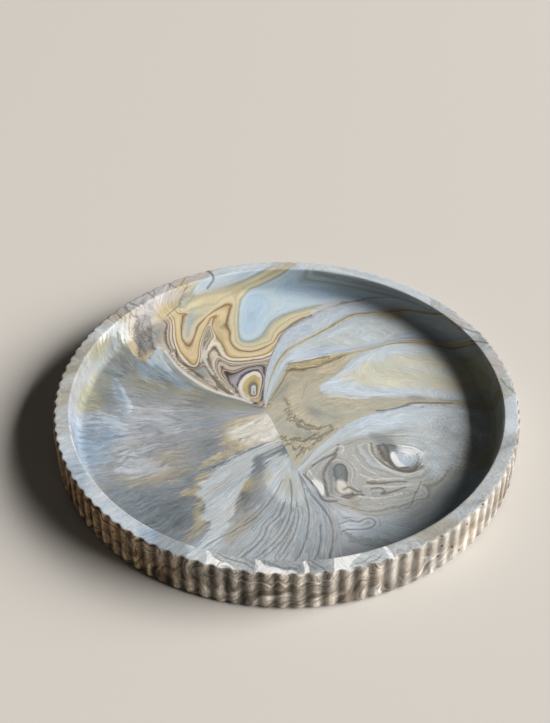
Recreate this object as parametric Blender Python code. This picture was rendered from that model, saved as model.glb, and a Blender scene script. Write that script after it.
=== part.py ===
"""Round candle tray: one cast, fluted dish on four thin anti-slip pads.

Metres, +Z up. The origin is on the surface that the tray stands on,
under the centre of the tray. -Y is the front, +X the right.
"""
import math

import bmesh
import bpy
from mathutils import Vector

# Tray, outside
rim_crest_diameter = 0.2000
base_flare = 0.0005
tray_height = 0.0186
flute_count = 106
flute_depth = 0.0007
first_crest_share = 0.20
base_edge_radius = 0.0007
rim_outer_edge_radius = 0.0010

# Tray, inside
rim_width = 0.0070
floor_thickness = 0.0066
wall_draft = 0.0015
rim_inner_edge_radius = 0.0007
floor_fillet_radius = 0.0030

# Anti-slip pads
pad_count = 4
pad_diameter = 0.0160
pad_thickness = 0.0006
pad_inset_from_base_edge = 0.0150
pad_seat_gap = 0.00025

# Fineness of the solids
points_per_flute = 6
edge_steps = 2
fillet_steps = 4
pad_sides = 32

# How the flute's section runs from crest to valley: above 1 the crests are the wider ones
valley_sharpness = 1.3

base_z = pad_thickness + pad_seat_gap
rim_z = base_z + tray_height
floor_z = base_z + floor_thickness
dish_opening_radius = rim_crest_diameter / 2 - rim_width
flute_pitch = 2 * math.pi / flute_count


def clear_scene():
    for obj in list(bpy.data.objects):
        bpy.data.objects.remove(obj, do_unlink=True)


def principled(name, color, roughness, metallic=0.0):
    material = bpy.data.materials.new(name)
    material.use_nodes = True
    shader = material.node_tree.nodes["Principled BSDF"]
    shader.inputs["Base Color"].default_value = (*color, 1.0)
    shader.inputs["Roughness"].default_value = roughness
    shader.inputs["Metallic"].default_value = metallic
    return material


def marbled_cast_material():
    return principled("marbled_cast", (0.40, 0.39, 0.37), 0.5)


def pad_material():
    return principled("pad_rubber", (0.045, 0.045, 0.048), 0.85)


def quarter_arc(radius, steps):
    """Offsets (across, along) from the start of a quarter round to its end."""
    angles = [math.pi / 2 * step / steps for step in range(steps + 1)]
    return [(radius * (1 - math.cos(a)), radius * math.sin(a)) for a in angles]


def crest_radius(z):
    """Outer radius over the crests, which grows by base_flare from rim to base."""
    return rim_crest_diameter / 2 + base_flare * (rim_z - z) / tray_height


def flute_cut(place_share):
    """How far the surface lies inside the crests, at a share of one pitch past a crest."""
    valley_share = (1 - math.cos(2 * math.pi * place_share)) / 2
    return flute_depth * valley_share ** valley_sharpness


def fluted_ring(bm, inset, z):
    """Vertices round the fluted outside, moved inwards by inset."""
    verts = []
    for flute in range(flute_count):
        for point in range(points_per_flute):
            place_share = point / points_per_flute
            angle = (flute + first_crest_share + place_share) * flute_pitch
            radius = crest_radius(z) - flute_cut(place_share) - inset
            verts.append(bm.verts.new((radius * math.cos(angle), radius * math.sin(angle), z)))
    return verts


def round_ring(bm, radius, z):
    """Vertices round a plain circle, one at each crest's angle."""
    verts = []
    for flute in range(flute_count):
        angle = (flute + first_crest_share) * flute_pitch
        verts.append(bm.verts.new((radius * math.cos(angle), radius * math.sin(angle), z)))
    return verts


def join_like_rings(bm, first, second):
    """Quads between two rings with the same number of vertices."""
    count = len(first)
    for i in range(count):
        j = (i + 1) % count
        bm.faces.new((first[i], first[j], second[j], second[i]))


def join_fluted_to_round(bm, fluted, plain):
    """Triangles between a fluted ring and a plain one, flute by flute."""
    half = points_per_flute // 2
    for flute in range(flute_count):
        near = plain[flute]
        far = plain[(flute + 1) % flute_count]
        start = flute * points_per_flute
        outer = [fluted[(start + i) % len(fluted)] for i in range(points_per_flute + 1)]
        for i in range(points_per_flute):
            bm.faces.new((outer[i], outer[i + 1], near if i < half else far))
        bm.faces.new((near, outer[half], far))


def outside_rings(bm):
    """Rings up the fluted outside, from the flat base to the flat rim."""
    rings = []
    for across, along in reversed(quarter_arc(base_edge_radius, edge_steps)):
        rings.append(fluted_ring(bm, across, base_z + base_edge_radius - along))
    for across, along in quarter_arc(rim_outer_edge_radius, edge_steps):
        rings.append(fluted_ring(bm, across, rim_z - rim_outer_edge_radius + along))
    return rings


def inside_rings(bm):
    """Rings down the dish, from the flat rim to the flat floor."""
    foot_radius = dish_opening_radius - wall_draft
    fillet = min(floor_fillet_radius, rim_z - rim_inner_edge_radius - floor_z)
    rings = []
    for across, along in reversed(quarter_arc(rim_inner_edge_radius, edge_steps)):
        rings.append(round_ring(bm, dish_opening_radius + across, rim_z - rim_inner_edge_radius + along))
    for across, along in quarter_arc(fillet, fillet_steps):
        rings.append(round_ring(bm, foot_radius - across, floor_z + fillet - along))
    return rings


def finish_mesh(bm, name, material):
    """Turn a closed bmesh into a smooth-shaded object with its faces pointing out."""
    bmesh.ops.recalc_face_normals(bm, faces=bm.faces)
    mesh = bpy.data.meshes.new(name)
    bm.to_mesh(mesh)
    bm.free()
    mesh.materials.append(material)
    mesh.shade_smooth()
    mesh.set_sharp_from_angle(angle=math.radians(35))
    obj = bpy.data.objects.new(name, mesh)
    bpy.context.scene.collection.objects.link(obj)
    return obj


def make_tray_body(material):
    """The cast dish: flat base, fluted outside, flat rim, drafted wall and flat floor."""
    bm = bmesh.new()
    outside = outside_rings(bm)
    inside = inside_rings(bm)
    base_circle = round_ring(bm, crest_radius(base_z) - flute_depth - 2 * base_edge_radius, base_z)
    for lower, upper in zip(outside, outside[1:]):
        join_like_rings(bm, lower, upper)
    for upper, lower in zip(inside, inside[1:]):
        join_like_rings(bm, upper, lower)
    join_fluted_to_round(bm, outside[-1], inside[0])
    join_fluted_to_round(bm, outside[0], base_circle)
    bm.faces.new(inside[-1])
    bm.faces.new(base_circle)
    return finish_mesh(bm, "tray_body", material)


def make_pad(index, material):
    """One round pad stuck under the base, midway between the front, back and side directions."""
    bm = bmesh.new()
    bmesh.ops.create_cone(
        bm,
        cap_ends=True,
        segments=pad_sides,
        radius1=pad_diameter / 2,
        radius2=pad_diameter / 2,
        depth=pad_thickness,
    )
    pad = finish_mesh(bm, f"anti_slip_pad_{index + 1}", material)
    turn = 2 * math.pi * (index + 0.5) / pad_count
    reach = crest_radius(base_z) - flute_depth - pad_inset_from_base_edge - pad_diameter / 2
    pad.location = Vector((reach * math.cos(turn), reach * math.sin(turn), pad_thickness / 2))
    return pad


def main():
    clear_scene()
    make_tray_body(marbled_cast_material())
    rubber = pad_material()
    for index in range(pad_count):
        make_pad(index, rubber)


main()
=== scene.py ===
"""Looks of the round, fluted, marbled candle tray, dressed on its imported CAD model."""
import math

import bmesh
import bpy
import numpy as np
from mathutils import Matrix, Vector


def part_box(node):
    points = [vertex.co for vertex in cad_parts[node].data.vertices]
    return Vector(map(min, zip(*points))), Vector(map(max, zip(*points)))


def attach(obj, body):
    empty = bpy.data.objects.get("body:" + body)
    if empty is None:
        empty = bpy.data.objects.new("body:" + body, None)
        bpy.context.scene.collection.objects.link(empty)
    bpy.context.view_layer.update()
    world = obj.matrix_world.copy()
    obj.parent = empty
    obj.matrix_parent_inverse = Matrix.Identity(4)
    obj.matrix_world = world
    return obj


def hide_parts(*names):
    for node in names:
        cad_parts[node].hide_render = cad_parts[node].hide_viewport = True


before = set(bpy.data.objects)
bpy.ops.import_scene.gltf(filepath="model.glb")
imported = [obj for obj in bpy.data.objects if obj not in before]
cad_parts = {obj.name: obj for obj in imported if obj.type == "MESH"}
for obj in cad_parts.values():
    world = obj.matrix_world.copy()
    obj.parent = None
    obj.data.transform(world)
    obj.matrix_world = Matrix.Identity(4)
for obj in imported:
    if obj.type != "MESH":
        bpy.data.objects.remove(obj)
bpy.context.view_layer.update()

MM = 0.001
BODY = "root"

# Sizes in mm, as the CAD has them
body_low, body_high = (np.array(corner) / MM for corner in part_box("tray_body"))
base_z = body_low[2]
rim_z = body_high[2]
crest_radius_rim = 100.0
base_flare = 0.5
flute_count = 106
flute_depth = 0.7
first_crest_share = 0.20
valley_sharpness = 1.3
rim_width = 7.0
floor_thickness = 6.6
wall_draft = 1.5
fillet_radius = 3.0
inner_edge_radius = 0.7
outer_edge_radius = 1.0
base_edge_radius = 0.7

# Fineness of the tray's mesh
points_per_flute = 10
inside_step = 0.85
base_step = 2.5

# Distances on the surface rolled out flat, in mm, between which one part turns into the next
dish_wall_reach = (88.0, 92.0)
rim_reach = (101.5, 103.5)
outside_reach = (107.5, 108.1)
base_reach = (127.0, 129.0)
drawn_reach = 112

floor_z = base_z + floor_thickness
opening_radius = crest_radius_rim - rim_width
foot_radius = opening_radius - wall_draft
floor_radius = foot_radius - fillet_radius


def arc(radius, steps, start=0.0):
    """Points (across, along) on a quarter round, from lying along to lying across."""
    turns = [start + (math.pi / 2 - start) * i / steps for i in range(steps + 1)]
    return [(radius * (1 - math.cos(a)), radius * math.sin(a)) for a in turns]


def inside_profile():
    """(radius, height) from the floor's edge, up the fillet and the wall, round to the flat rim."""
    points = []
    for across, along in reversed(arc(fillet_radius, 8)):
        points.append((foot_radius - across, floor_z + fillet_radius - along))
    wall_top = rim_z - inner_edge_radius
    wall_foot = floor_z + fillet_radius
    wall_steps = 10
    for i in range(1, wall_steps):
        share = i / wall_steps
        points.append((foot_radius + wall_draft * share, wall_foot + (wall_top - wall_foot) * share))
    for across, along in arc(inner_edge_radius, 4):
        points.append((opening_radius + across, wall_top + along))
    return points


def outside_profile():
    """(inset from the flutes, height) from the flat rim, down the flutes, round to the flat base."""
    points = []
    rim_steps = 10
    rim_flat = rim_width - inner_edge_radius - outer_edge_radius - flute_depth
    for i in range(1, rim_steps):
        points.append((rim_flat * (1 - i / rim_steps) + outer_edge_radius, rim_z))
    for across, along in reversed(arc(outer_edge_radius, 4)):
        points.append((across, rim_z - outer_edge_radius + along))
    wall_top = rim_z - outer_edge_radius
    wall_foot = base_z + base_edge_radius
    wall_steps = 14
    for i in range(1, wall_steps):
        points.append((0.0, wall_top + (wall_foot - wall_top) * i / wall_steps))
    for across, along in arc(base_edge_radius, 4):
        points.append((across, wall_foot - along))
    return points


def flute_cut(turn):
    """How far the surface lies inside the crests at an angle round the tray."""
    place = turn * flute_count / (2 * math.pi) - first_crest_share
    valley = (1 - math.cos(2 * math.pi * place)) / 2
    return flute_depth * valley ** valley_sharpness


# Pattern of the marbling, drawn on the tray's surface rolled out flat.
# x runs right and y back, in mm from the middle; past the floor, distance runs up the wall and over the rim.
hub = (-9.3, 2.2)
lower_hub = (4.0, -35.0)

# Borders that two regions share, from the middle out
loops_to_streams = [
    (-9.8, 6), (-10.2, 12), (-9.8, 20), (-9.2, 28), (-7.6, 36), (-6, 42), (-4.4, 48), (-2.6, 54),
    (0.4, 59), (3.4, 62.6), (8, 66.8), (12, 70.3), (18, 75), (25, 79), (33, 82), (45, 82.6), (56, 79.4),
    (66, 74), (78, 66), (100, 84)
]
eddies_to_streams = [
    lower_hub, (8, -29), (14, -22), (20, -15), (26, -9), (33, -4), (42, 0), (50, 3), (58, 5), (68, 5.2),
    (85, 2), (105, -4), (140, -10)
]

# Lines of even level in the folded loops at the back left, from the blue lobe out to the eye
loop_lines = [
    (-7, [(-18, 86), (-19.6, 76), (-20, 66), (-18.6, 57)]),
    (-5, [(-10, 88), (-6, 80), (-11, 68), (-14, 60)]),
    (-5, [(5, 88), (12, 84), (22, 83.4)]),
    (-7, [(2, 91.5), (14, 90.5), (28, 86.5), (40, 83.5)]),
    (-9, [(8, 95.6), (18, 94.2), (30, 90.6), (42, 86.4), (54, 81)]),
    (-12, [(16, 98.6), (28, 95), (42, 89.6), (56, 83), (68, 76)]),
    (-15, [(26, 100.4), (40, 94), (56, 87), (70, 78)]),
    (0, [(-19, 89), (-22, 84), (-22.8, 78), (-23, 70), (-23, 62), (-22.5, 55), (-21.5, 51), (-19, 49.3),
        (-16, 49.5), (-12.5, 52), (-10, 56), (-8, 61), (-5.5, 65.5), (-1, 69.5), (4, 72.4), (9, 74.8),
        (15, 77.2), (22, 79.4), (30, 81.4)]),
    (7, [(-27, 78), (-28, 71.7), (-28.9, 63.9), (-27, 56.7), (-26.4, 50), (-24.7, 45.6), (-21.7, 42.5),
        (-16.7, 41.7), (-12.2, 43.3), (-8.3, 46.1), (-5.6, 48.9), (-4.4, 52.2), (-2.8, 55.6), (0, 58.6),
        (2.8, 62.2), (6, 65.6), (9, 68.4)]),
    (4, [(10, 70.4), (14, 73)]),
    (1.5, [(16, 74.6), (24, 79)]),
    (12.8, [(-34.5, 70), (-35.5, 65), (-35.6, 60), (-33.8, 55), (-31.5, 50), (-29.5, 45), (-28, 40.5),
        (-26, 37.8), (-22, 37), (-17, 37.3), (-12, 38.5), (-8, 41), (-6, 44), (-4.2, 48), (-2, 52.5)]),
    (14.3, [(-35, 50.5), (-33, 47), (-31, 43), (-29.5, 39.5), (-27.5, 36.8), (-25, 35.6), (-21, 35.5),
        (-16, 36.4), (-11, 37.7), (-8, 39.2)]),
    (14.3, [(-35, 50.5), (-36.5, 46.5), (-37.6, 42), (-37.7, 38), (-36.8, 34), (-35, 29.5), (-33, 25),
        (-30.5, 20), (-27, 15), (-23, 11)]),
    (15.2, [(-34, 45), (-32, 41.5), (-30, 37.5), (-27.5, 35.4), (-25, 34.4), (-21, 34.2), (-16, 35),
        (-11, 36.2)]),
    (15.2, [(-34, 45), (-36, 41), (-36.4, 37), (-35.4, 33), (-33.6, 28), (-31, 22.5), (-27, 16.5),
        (-22, 11.5)]),
    (16.5, [(-33, 40.5), (-33, 36), (-33.4, 31), (-31.5, 25), (-27.5, 18)]),
    (19, [(-31.3, 36), (-28, 33), (-25, 31.3), (-21, 31.6), (-17, 32.5), (-12, 33.5)]),
    (19, [(-31.3, 36), (-32, 32), (-31, 26), (-28.2, 20), (-23.5, 14)]),
    (22, [(-30.2, 30.5), (-27, 28.2), (-24, 27.6), (-21, 29.2), (-17, 31.2), (-13, 32.2)]),
    (22, [(-30.2, 30.5), (-29.4, 25), (-26.4, 19.5), (-23, 15), (-19, 10.5)]),
    (25, [(-27.4, 27), (-25, 25), (-21.7, 26.7), (-18.3, 29.4), (-14.4, 30.8), (-10.6, 31), (-10, 25.6)]),
    (25, [(-27.4, 27), (-26.4, 22), (-24.6, 16), (-22, 11.6)]),
    (27.2, [(-22.5, 22.5), (-21.5, 25), (-18, 28), (-14.5, 29.3), (-12, 29)]),
    (27.2, [(-22.5, 22.5), (-23, 19), (-22.6, 14.5), (-20.6, 10.6)]),
    (29.2, [(-15.6, 8.4), (-18.6, 10.8), (-20.7, 14.4), (-20.7, 18.5), (-19, 22.8), (-16.6, 25.8),
        (-14, 27), (-12, 26), (-11, 22), (-11.4, 16), (-12.2, 10)]),
    (32, [(-15.8, 8.6), (-17.6, 12.5), (-18, 17), (-16.6, 21.2), (-14.4, 23), (-13, 21.4)]),
    (36.3, [(-14, 16.5), (-13.8, 13.5), (-13.7, 11.4)]),
    (25.8, [(-15, 6.2), (-12.4, 6.8)]),
    (17.6, [(-36.6, 60), (-38.7, 54), (-39.3, 48), (-39.4, 41), (-38.9, 36), (-37.2, 31.7), (-33.9, 26.1),
        (-31.1, 19.4), (-27.8, 14.4), (-22.8, 9.4)]),
    (13.6, [(-36.5, 67), (-37.8, 62), (-39.4, 56), (-40.4, 50), (-40.7, 44), (-40.6, 38), (-41, 33.4),
        (-42.2, 31), (-44, 31.4), (-46, 34), (-48, 37.5), (-50, 41), (-52, 47), (-53.5, 54), (-54, 60),
        (-55, 66), (-57, 70)]),
    (9.6, [(-38, 69), (-40, 62), (-42, 55), (-42.8, 47), (-43.4, 40), (-45, 38.6), (-47.6, 42),
        (-50.4, 49), (-52, 57), (-52.8, 66)]),
    (7, [(-32.8, 76.1), (-37.2, 71.1), (-40.6, 65.6), (-42.8, 60.6), (-43.5, 55), (-44.7, 48.9),
        (-45.8, 46), (-48.9, 49.4), (-50.3, 54.4), (-50.6, 58.9), (-50.4, 66), (-50, 72)]),
    (3.4, [(-34, 80), (-40, 74), (-45, 66), (-46.6, 58), (-47.6, 53)]),
    (19.5, [(-58.6, 63), (-58.4, 55), (-57, 48), (-54.6, 41), (-51.2, 34), (-46.5, 27.6), (-42, 23.2),
        (-37, 19.2), (-31, 15.4)]),
    (21, [(-40.5, 26.5), (-38, 23), (-35, 19)]),
    (16, [(-54, 39.5), (-50.2, 32.6), (-45.8, 26.8), (-41, 22), (-35.5, 17.6)]),
    (20.6, [(-63, 63), (-62.5, 54), (-60.5, 46)]),
    (22.8, [(-67.6, 61), (-66.6, 52), (-65, 43)]),
    (21, [(-80, 68), (-75, 57), (-72, 48)]),
    (3, [(-50, 73), (-44, 77.5), (-38, 81.5), (-30, 86), (-22, 90.2), (-14, 95), (-6, 99.5), (0, 103.5),
        (3, 110)]),
    (-0.4, [(-54, 78), (-48, 82), (-42, 85), (-33, 89.5), (-25, 93.4), (-18, 97.4), (-10, 102.5),
        (-4, 108)]),
    (-0.4, [(-17.5, 90.5), (-10, 94.5), (-3, 98.5), (4, 104), (8, 110)]),
    (-6, [(-45, 90), (-38, 93.5), (-28, 98), (-18, 104)]),
    (8, [(-47, 92), (-42.5, 97), (-40, 103)]),
    (14, [(-60, 88), (-52, 94), (-47, 101)]),
    (20, [(-75, 72), (-68, 82), (-60, 94)]),
]

# Lines of even level in the streams that leave the hub to the back right, from the loops to the lower hub
stream_lines = [
    (0, [(-9.6, 6), (-10, 12), (-9.6, 20), (-9, 28), (-7.4, 36), (-5.9, 42), (-4.4, 48), (-2.6, 54),
        (0.4, 59), (3.4, 62.6), (8, 66.8), (12, 70.3), (18, 75), (25, 79), (33, 82), (45, 83), (58, 80)]),
    (5, [(-9.2, 6), (-8.6, 12), (-7.6, 19), (-6, 26), (-4, 33), (-1.5, 39), (2, 44), (7, 48), (14.3, 54.4),
        (21.7, 60.5), (28.1, 66.5), (33.7, 70.6), (41.1, 72), (50, 73), (62, 71), (80, 62)]),
    (10, [(-8.5, 8), (-6.5, 16), (-4, 24), (-1, 31.5), (3.4, 37.5), (10, 44), (20, 50), (32, 55), (45, 60),
        (60, 61), (80, 55)]),
    (15, [(-8.5, 5), (-6.8, 11), (-4.2, 18.6), (-1.5, 25.4), (0.8, 31.4), (3, 34), (8, 35.3), (15.8, 37.8),
        (22.8, 39.9), (29.7, 41.6), (36.7, 44), (43.6, 46.5), (50.6, 49.2), (57.5, 51), (68, 50.5),
        (85, 44), (104, 36)]),
    (19, [(-7.5, 6), (-4.5, 13), (-2, 19.5), (0, 24.6), (2, 28.4), (8, 29), (15, 31), (20, 34), (27, 38.5),
        (33, 41)]),
    (23, [(-8.5, 2.5), (-3, 9), (3, 16), (10, 22), (18, 27), (25, 31), (32, 37), (40, 42), (52, 46.5),
        (70, 45), (90, 36)]),
    (30, [(-7.5, -2), (0, 4), (8, 9), (15.5, 14.5), (25, 18), (40, 22), (60, 21), (80, 16), (105, 10)]),
    (36, [(-5, -8), (3, 0), (12, 6), (22, 10), (31, 8.5), (45, 9.5), (58, 9), (70, 5.5), (85, 4),
        (105, 0)]),
    (41, [(-1, -20), (7, -10), (16, -2), (28, 3), (40, 5), (52, 7), (64, 5.6)]),
    (46, eddies_to_streams[:-1]),
]

# Lines of even level in the two fans on the left and at the front
fan_lines = [
    (0, [hub, (-14.5, 5.2), (-22, 9), (-28.5, 11.5), (-35, 15), (-41, 20), (-46, 25), (-50, 30),
        (-53.5, 36), (-57, 42), (-62, 52), (-70, 66), (-80, 80)]),
    (12, [(-10, 1.8), (-25, 7), (-45, 15), (-60, 24), (-75, 38), (-90, 55)]),
    (24, [(-10, 1), (-30, 2.5), (-50, 5), (-70, 12), (-105, 28)]),
    (36, [(-10, 0), (-30, -4), (-50, -7), (-70, -8), (-108, -6)]),
    (46, [(-9, -1), (-25, -10.5), (-42, -17), (-60, -22), (-80, -28), (-105, -36)]),
    (50, [(-7.4, -5), (-15, -10.2), (-26, -16), (-42, -24)]),
    (54, [(-5.4, -11), (-14, -16.6), (-26, -23), (-42, -31), (-62, -41)]),
    (58, [(-3, -18), (-14, -25), (-25, -31.5), (-38, -37), (-52, -42), (-68, -48), (-90, -60)]),
    (70, [(-1, -22), (-10, -29), (-20, -38), (-30, -48), (-42, -58), (-55, -68), (-75, -82)]),
    (84, [(1, -28), (-6, -36), (-13, -46), (-20, -57), (-30, -68), (-45, -82), (-60, -92)]),
    (96, [(3, -33), (-1, -44), (-5, -55), (-12, -66), (-20, -76), (-32, -90)]),
    (106, [lower_hub, (2.5, -48), (1.5, -58), (-2, -68), (-8, -80), (-14, -95)]),
    (116, [lower_hub, (5.5, -46), (9, -56), (10, -66), (8, -78), (6, -95)]),
    (126, [lower_hub, (8, -42), (13, -50), (17, -58), (18.6, -68), (18, -80), (17, -95)]),
]

# Lines of even level in the eddies at the front right
eddy_lines = [
    (0, [(5, -35), (12, -24.5), (20, -15), (26, -9), (33, -4), (42, 0), (50, 3), (68, 5), (85, 2),
        (105, -4)]),
    (6, [(6, -35), (13, -26), (22, -17), (34, -9.5), (48, -6), (62, -5), (80, -8), (105, -18)]),
    (13, [(7, -36), (14, -27.5), (24, -19.5), (34, -15.5), (46, -13), (60, -14), (74, -20), (90, -34)]),
    (19, [(8, -37.5), (13, -30.5), (18, -25.5), (22, -22.5), (25.5, -21), (31, -18), (37, -17.5)]),
    (24, [(10, -37.5), (15, -31.5), (20, -27), (22.5, -25), (25, -27.5), (27.5, -32), (33, -36.5),
        (42, -40.5), (52, -42.5), (60, -40), (65, -32)]),
    (28, [(30, -21), (32, -27), (37, -33.5), (44, -38.4), (52, -39.4), (58, -36), (61, -30)]),
    (33, [(36, -20), (37, -26), (41, -32), (46, -36.4), (52, -37), (56, -34), (58, -29)]),
    (38, [(43, -24.4), (42.6, -28), (44.4, -32.6), (48, -35), (52, -33.6)]),
    (35, [(39, -21), (42, -21), (47, -22), (53, -23)]),
    (45, [(45.6, -28), (46.4, -31), (49.4, -32)]),
    (30, [(17.5, -34), (17, -42), (18.5, -49)]),
    (38, [(22.5, -34), (23.5, -39), (22.5, -44), (22, -47.5), (25.5, -49)]),
    (25, [(29, -36), (31, -43), (32, -50)]),
    (20, [(30, -43), (40, -44.5), (50, -43.5), (58, -44)]),
    (26, [(31, -46.5), (38, -48), (46, -46.8), (54, -48)]),
    (18, [(12, -46), (16, -52), (24, -56), (34, -59), (44, -57), (52, -53)]),
    (10, [(14, -50.5), (19, -57), (27, -61), (36, -63), (48, -62), (62, -52), (74, -38)]),
    (3, [(18, -58), (22, -66), (30, -67.5), (34, -66), (38, -70), (50, -72), (66, -62)]),
    (-3, [(19, -68), (24, -76), (36, -78), (52, -76)]),
]

# Outlines of the regions that these fields colour; the fans take the rest
loop_region = [
    (-9.5, 2.4),
    *loops_to_streams,
    (70, 112), (34, 120), (0, 128), (-50, 120), (-95, 85), (-99, 76), (-82, 58), (-77, 50), (-75, 46),
    (-71.5, 39), (-68.5, 36), (-66, 35), (-63.8, 37.6), (-62.6, 41.5), (-60.5, 43.5), (-57.4, 41.5),
    (-53.5, 35.4), (-50, 29.6), (-46, 24.6), (-41, 19.6), (-35, 14.6), (-28.5, 11.1), (-22, 8.6),
    (-14.5, 4.9),
]
stream_region = [
    hub, (-6, -6.5), (-2.5, -17), (0.6, -26),
    *eddies_to_streams,
    (120, 60), *reversed(loops_to_streams),
]
eddy_region = [
    *eddies_to_streams,
    (120, -70), (60, -120), (22, -120), (20, -95), (20.5, -80), (21, -70), (19.5, -60), (16, -52),
    (11, -45), (7, -38.5),
]
lobe_region = [
    (15.3, 14.4), (16, 17.4), (20, 22), (25, 28), (30, 34), (36, 39.5), (44, 44), (52, 47), (62, 48),
    (76, 44), (95, 36), (112, 20), (108, 4), (85, 6), (70, 8.4), (62, 9.8), (52, 10.5), (45, 9.4),
    (38, 8.8), (31, 8.4), (26, 11), (22, 12), (17, 11.6)
]


def rim_arc(start, end, lean=5):
    """The outline of a stretch of the rim between two azimuths in degrees, leaning outwards, for a patch."""
    steps = [start + (end - start) * i / 4 for i in range(5)]
    places = [(101, a) for a in steps] + [(110, a + lean) for a in reversed(steps)]
    return [(r * math.cos(math.radians(a)), r * math.sin(math.radians(a))) for r, a in places]


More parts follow.
